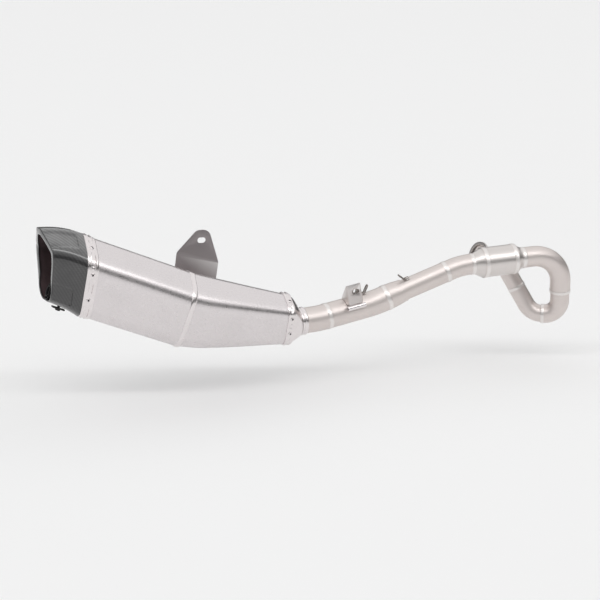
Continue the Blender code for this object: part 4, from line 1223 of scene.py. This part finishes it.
def build_seam():
    """Raised strip over the sleeve's joint, with rounded edges."""
    ahead = SEAM_HALF_WIDTH / (KNEE[0] - SEAM[0])
    behind = SEAM_HALF_WIDTH / (SEAM[0] - REAR_BAND_FRONT[0])
    outer = []
    inner = []
    for k in range(17):
        share = k / 8 - 1
        if share < 0:
            station = mix_stations(SEAM, KNEE, -share * ahead)
        else:
            station = mix_stations(SEAM, REAR_BAND_FRONT, share * behind)
        height = (GAP + BAND_WALL) * math.sqrt(max(0.0, 1 - abs(share) ** 3.5))
        outer.append(section(station, -height))
        inner.append(section(station, WALL * 0.5))
    strip = skin("sleeve_seam_smooth", [*outer, *reversed(inner)], True, {"heat": [0.0] * 34}, 60)
    show(strip, BAND, "silencer", "satin_band", "sleeve_seam")


BAND_RIVETS = 7
EMBOSS_HALF_WIDTH = 0.0034
EMBOSS_HEIGHT = 0.0011
EMBOSS_EDGE = 0.0016
EMBOSS_EDGE_ROLL = 0.0004
ROLL_ROWS = 3


def build_band(name, first, second):
    """Clamping band with an embossed slot between each two rivets and rolled edges."""
    rows = 26
    stations = [mix_stations(first, second, row / rows) for row in range(rows + 1)]
    plain = [section(station, -GAP - BAND_WALL) for station in stations]
    middle = plain[rows // 2]
    reach = girth(middle)
    width = (plain[-1][0] - plain[0][0]).length
    nodes = [NODES[f"{name}_rivet_{number}"] for number in range(1, BAND_RIVETS + 1)]
    spots = [nearest_place(middle, middle_of(node)) for node in nodes]
    places = sorted(spots)
    girths = [value_at(reach, place) for place in places]
    slots = []
    for here, after in zip(girths, girths[1:] + [girths[0] + reach[-1]]):
        slots.append(((here + after) / 2, max(0.004, (after - here) / 2 - 0.0105)))
    outer = []
    for row, ring in enumerate(plain):
        from_edge = min(row, rows - row, ROLL_ROWS) / ROLL_ROWS
        lift = EMBOSS_EDGE_ROLL * math.sin(from_edge * math.pi / 2)
        across = (row / rows - 0.5) * width
        raised = []
        for k, point in enumerate(ring):
            rise = 0.0
            for centre, half in slots:
                offset = (reach[k] - centre + reach[-1] / 2) % reach[-1] - reach[-1] / 2
                beyond = max(0.0, abs(offset) - (half - EMBOSS_HALF_WIDTH))
                distance = math.hypot(beyond, across) - EMBOSS_HALF_WIDTH
                rise = max(rise, smoothstep(-distance / EMBOSS_EDGE + 0.5))
            ridge = smoothstep(1 - abs(rise - 0.5) * 2)
            amount = EMBOSS_HEIGHT * (ridge - 0.5 * rise) + lift - EMBOSS_EDGE_ROLL
            raised.append(point + outward(plain, row, k) * amount)
        outer.append(raised)
    inner = [section(station, -GAP * 0.3) for station in stations]
    obj = skin(name + "_smooth", [*outer, *reversed(inner)], True, {"heat": [0.0] * (2 * rows + 2)}, 60)
    show(obj, BAND, "silencer", "satin_band", name)
    for number, place in enumerate(spots, 1):
        point = ring_point(middle, place)
        build_rivet(f"{name}_rivet_{number}", point, outward(plain, rows // 2, math.floor(place) % len(middle)))


# Recessed panels of the cap: flat, shares of its width at the band side and at the rim side, share of the
# cap's length where the panel starts
CAP_PANELS = (
    (0, (0.36, 0.86), (0.19, 0.84), 0.20),
    (2, (0.14, 0.64), (0.16, 0.81), 0.20),
    (5, (0.61, 0.925), (0.57, 0.93), 0.26),
    (3, (0.075, 0.39), (0.07, 0.43), 0.26),
    (5, (0.11, 0.41), (0.08, 0.41), 0.32),
    (3, (0.59, 0.89), (0.59, 0.92), 0.32),
)
PANEL_END = 0.985
PANEL_DEPTH = (0.0022, 0.0014)
PANEL_EDGE = 0.0008


def panel_places():
    """Each panel's four limits as places in a ring."""
    return [
        (*(flat_index(corner, share) for share in (*band_side, *rim_side)), start)
        for corner, band_side, rim_side, start in CAP_PANELS
    ]


def panel_depth(place, share, length, reach, panels):
    """Depth of the recess at a place of the ring and a share of the cap's length from its band."""
    deepest = 0.0
    for low, high, low_rim, high_rim, start in panels:
        slope = min(1.0, max(0.0, (share - start) / (PANEL_END - start)))
        first = low + (low_rim - low) * slope
        last = high + (high_rim - high) * slope
        if not first - 4 <= place <= last + 4:
            continue
        side = min(reach[place] - value_at(reach, first), value_at(reach, last) - reach[place])
        edge = min(side, (share - start) * length, (PANEL_END - share) * length) / PANEL_EDGE + 0.5
        depth = PANEL_DEPTH[0] + (PANEL_DEPTH[1] - PANEL_DEPTH[0]) * slope
        deepest = max(deepest, depth * smoothstep(edge))
    return deepest


def value_at(values, place):
    low = math.floor(place)
    return values[low] + (place - low) * (values[low + 1] - values[low])


def through_three(first, middle, last, share):
    """Ring at a share of the smooth run through three rings."""
    weights = ((1 - share) * (1 - 2 * share), 4 * share * (1 - share), share * (2 * share - 1))
    return [a * weights[0] + b * weights[1] + c * weights[2] for a, b, c in zip(first, middle, last)]


CAP_ROWS = 84
LIP_ROWS = 10
LIP_INSET = 0.0100
LIP_FOOT = 0.006
LIP_RISE = 0.020


def build_cap():
    """Carbon cap: recessed panels, a broad rolled rim drawn tailward at the top, and its inner wall."""
    seat = section(REAR_BAND_REAR, -GAP - BAND_WALL, GAP)
    middle = pull_top(section(CAP_MIDDLE), CAP_VISOR * 0.3)
    rim = cap_rim()
    plain = [through_three(seat, middle, rim, row / CAP_ROWS) for row in range(CAP_ROWS + 1)]
    reach = girth(plain[CAP_ROWS // 2])
    length = (plain[-1][0] - plain[0][0]).length
    panels = panel_places()
    outer = []
    for row, ring in enumerate(plain):
        share = row / CAP_ROWS
        sunk = []
        for k, point in enumerate(ring):
            sunk.append(point - outward(plain, row, k) * panel_depth(k, share, length, reach, panels))
        outer.append(sunk)
    lip = []
    inner_rim = [a.lerp(b, lip_share(a)) for a, b in zip(cap_rim(CAP_WALL), cap_rim(LIP_INSET))]
    for k in range(1, LIP_ROWS):
        angle = math.pi * k / LIP_ROWS
        share = (1 - math.cos(angle)) / 2
        roll = TAILWARD * CAP_WALL * 0.34 * math.sin(angle)
        lip.append([a.lerp(b, share) + roll for a, b in zip(rim, inner_rim)])
    inner_seat = section(REAR_BAND_REAR, WALL + GAP + CAP_WALL, GAP)
    inner_middle = pull_top(section(CAP_MIDDLE, CAP_WALL), CAP_VISOR * 0.3)
    steps = CAP_ROWS // 2
    inner = [through_three(inner_seat, inner_middle, inner_rim, 1 - row / steps) for row in range(steps + 1)]
    rings = [*outer, *lip, *inner]
    trim = [smoothstep((row / CAP_ROWS - PANEL_END) / 0.01) for row in range(CAP_ROWS + 1)]
    trim += [1.0] * (len(rings) - len(trim))
    # Weight of the painted reddish-grey sheen, rising from the rim over the inner wall.
    painted_inner_sheen = [0.0] * (len(outer) + len(lip)) + [smoothstep(row / 3) for row in range(steps + 1)]
    cap = skin("end_cap_smooth", rings, True, {"trim": trim, "painted_inner_sheen": painted_inner_sheen}, 60)
    show(cap, CARBON, "silencer", "carbon", "end_cap")


def lip_share(point):
    """How much of the broad lip a point of the rim gets: none at the foot, where the outlet tube lies."""
    return smoothstep((point.z - LIP_FOOT) / LIP_RISE)


OUTLET_POINT = on_silencer(*OUTLET_END)


def in_outlet(distance):
    return OUTLET_POINT - OUTLET_OUT * distance


def ring_profile(top, bottom, outer, inner, edge=0.0004):
    profile = [(top, outer), (bottom, outer), (bottom, inner), (top, inner)]
    return softened([*profile, profile[0]], edge, 3)[:-1]


def build_outlet():
    placement = pointing(OUTLET_POINT, OUTLET_OUT)
    near, far = OUTLET_SPAN
    tube = turned("outlet_tube_smooth", ring_profile(-near, -far, OUTLET_R, OUTLET_R - WALL), placement, 96)
    show(tube, BLACK, "silencer", "black_steel", "outlet_tube")
    near, far = BAFFLE_CUP_SPAN
    lip = BAFFLE_PIPE_R + 0.0003
    cup = [
        (-near, BAFFLE_R),
        (-far, BAFFLE_R),
        (-far, BAFFLE_R - WALL),
        (-near - WALL * 2, BAFFLE_R - WALL),
        (-near - WALL * 2, lip),
        (-near, lip),
    ]
    cup = softened([*cup, cup[0]], 0.0008, 4)[:-1]
    show(turned("baffle_cup_smooth", cup, placement, 96), BLACK, "baffle", "black_steel", "baffle_cup")
    start, end = BAFFLE_PIPE_SPAN
    bore = ring_profile(-start, -end, BAFFLE_PIPE_R, BAFFLE_PIPE_R - WALL)
    show(turned("baffle_pipe_smooth", bore, placement, 80), BLACK, "baffle", "black_steel", "baffle_pipe")
    for name, surface in (("outlet_plate", BLACK), ("perforated_core", BAND), ("packing_wool", WOOL)):
        NODES[name].data.materials.clear()
        NODES[name].data.materials.append(surface)


def build_screw():
    """Set screw with a hexagon socket in its domed head, on its black strip."""
    placement = pointing(in_outlet(SCREW_PLACE), OUTLET_DOWN)
    seat = BOSS_SPAN[1] + GAP
    rows = (
        (seat + SCREW_HEAD * 0.35, 0.0004, 1.0),
        (seat + SCREW_HEAD * 0.35, SCREW_HEAD_R * 0.46, 1.0),
        (seat + SCREW_HEAD, SCREW_HEAD_R * 0.50, 1.0),
        (seat + SCREW_HEAD, SCREW_HEAD_R * 0.72, 0.0),
        (seat + SCREW_HEAD * 0.75, SCREW_HEAD_R * 0.93, 0.0),
        (seat + SCREW_HEAD * 0.35, SCREW_HEAD_R, 0.0),
        (seat, SCREW_HEAD_R, 0.0),
        (seat, SCREW_R, 0.0),
        (BAFFLE_R + GAP, SCREW_R, 0.0),
        (BAFFLE_R + GAP, 0.0004, 0.0),
    )
    rings = []
    for along, radius, hexagon in rows:
        ring = []
        for k in range(48):
            angle = 2 * math.pi * k / 48
            flat = math.cos(math.pi / 6) / math.cos((angle % (math.pi / 3)) - math.pi / 6)
            reach = radius * (1 + (flat - 1) * hexagon)
            ring.append(placement @ Vector((reach * math.cos(angle), reach * math.sin(angle), along)))
        rings.append(ring)
    screw = skin("baffle_screw_smooth", rings, False, {"heat": [0.0] * len(rings)})
    show(screw, BLACK, "baffle_screw", "black_steel", "baffle_screw")
    NODES["screw_boss"].data.materials.clear()
    NODES["screw_boss"].data.materials.append(BLACK)


# ---------------------------------------------------------------- stage, light and camera

FLOOR_Z = -0.19
FLOOR_R = 400.0
CAMERA_PLACE = Vector((-0.8925, -2.3139, 0.4458))
CAMERA_TURN = (math.radians(78), 0.0, math.radians(-14))
CAMERA_LENS = 87.2

# Studio: brightness by height of the direction, and a long softbox above the camera's side
SKY = ((0.0, 0.08), (0.05, 0.03), (0.23, 0.03), (0.38, 0.60), (0.60, 0.84), (1.0, 0.80))
SOFTBOX_FACING = Vector((-0.15, -0.61, 0.79)).normalized()
SOFTBOX_HALF = (0.80, 0.10)
SOFTBOX_EDGE = 0.06
SOFTBOX_LEVEL = 3.2
STUDIO_STRENGTH = 1.12


def build_floor():
    bm = bmesh.new()
    bmesh.ops.create_circle(bm, cap_ends=True, segments=96, radius=FLOOR_R)
    mesh = bpy.data.meshes.new("floor")
    bm.to_mesh(mesh)
    bm.free()
    floor = bpy.data.objects.new("floor", mesh)
    floor.location.z = FLOOR_Z
    mesh.materials.append(floor_paper())
    bpy.context.scene.collection.objects.link(floor)


def build_world():
    """Bright studio: pale above, a dark band just over the horizon, and a painted softbox far away."""
    world = bpy.data.worlds.new("studio")
    bpy.context.scene.world = world
    world.use_nodes = True
    tree = world.node_tree
    background = tree.nodes["Background"]
    direction = tree.nodes.new("ShaderNodeTexCoord").outputs["Generated"]

    def linked(kind, **inputs):
        node = tree.nodes.new(kind)
        for name, value in inputs.items():
            socket = node.inputs[int(name[1:])]
            if isinstance(value, bpy.types.NodeSocket):
                tree.links.new(value, socket)
            else:
                socket.default_value = value
        return node

    def combine(operation, first, second):
        node = linked("ShaderNodeMath", _0=first, _1=second)
        node.operation = operation
        return node.outputs[0]

    def along(axis):
        node = linked("ShaderNodeVectorMath", _0=direction, _1=axis)
        node.operation = "DOT_PRODUCT"
        return node.outputs["Value"]

    def within(value, half):
        soft = linked("ShaderNodeMapRange", _0=combine("ABSOLUTE", value, 0.0), _1=half, _2=half - SOFTBOX_EDGE)
        soft.interpolation_type = "SMOOTHSTEP"
        return soft.outputs[0]

    ramp = linked("ShaderNodeValToRGB", _0=along(UP))
    elements = ramp.color_ramp.elements
    while len(elements) < len(SKY):
        elements.new(0.5)
    for element, (position, level) in zip(elements, SKY):
        element.position = position
        element.color = (level, level, level, 1.0)
    across = SOFTBOX_FACING.cross(UP).normalized()
    over = across.cross(SOFTBOX_FACING)
    box = combine("MULTIPLY", within(along(across), SOFTBOX_HALF[0]), within(along(over), SOFTBOX_HALF[1]))
    box = combine("MULTIPLY", box, combine("GREATER_THAN", along(SOFTBOX_FACING), 0.0))
    lit = linked("ShaderNodeMath", _0=box, _1=SOFTBOX_LEVEL, _2=ramp.outputs["Color"])
    lit.operation = "MULTIPLY_ADD"
    tree.links.new(lit.outputs[0], background.inputs["Color"])
    background.inputs["Strength"].default_value = STUDIO_STRENGTH


def build_camera():
    camera = bpy.data.objects.new("camera", bpy.data.cameras.new("camera"))
    camera.data.lens = CAMERA_LENS
    camera.data.sensor_width = 36.0
    camera.location = CAMERA_PLACE
    camera.rotation_euler = CAMERA_TURN
    bpy.context.scene.collection.objects.link(camera)
    bpy.context.scene.camera = camera


# ---------------------------------------------------------------- assembly


def build():
    build_port()
    build_header()
    build_chamber()
    build_mid_pipe()
    build_hook("header_spring_hook", on_slip(HEADER_HOOK[0]), -SLIP_BACK, HEADER_R, HEADER_HOOK[1], 1, "header")
    build_slip_joint()
    build_link_pipe()
    link_forward = (LINK_CORNERS[0] - LINK_CORNERS[1]).normalized()
    link_place = at_x(LINK_CORNERS[0], LINK_CORNERS[1], LINK_HOOK[0])
    build_hook("link_spring_hook", link_place, link_forward, LINK_R, LINK_HOOK[1], -1, "silencer")
    build_frame_bracket()
    build_inlet()
    build_sleeve("sleeve_front", (FRONT_BAND_FRONT, FRONT_BAND_REAR, KNEE, SEAM), 60)
    build_sleeve("sleeve_rear", (SEAM, REAR_BAND_FRONT, REAR_BAND_REAR), 40)
    build_seam()
    build_band("front_band", FRONT_BAND_FRONT, FRONT_BAND_REAR)
    build_band("rear_band", REAR_BAND_FRONT, REAR_BAND_REAR)
    build_cap()
    build_outlet()
    build_screw()
    build_hanger()
    build_floor()
    build_world()
    build_camera()
    bpy.context.scene.view_settings.view_transform = "Standard"


build()
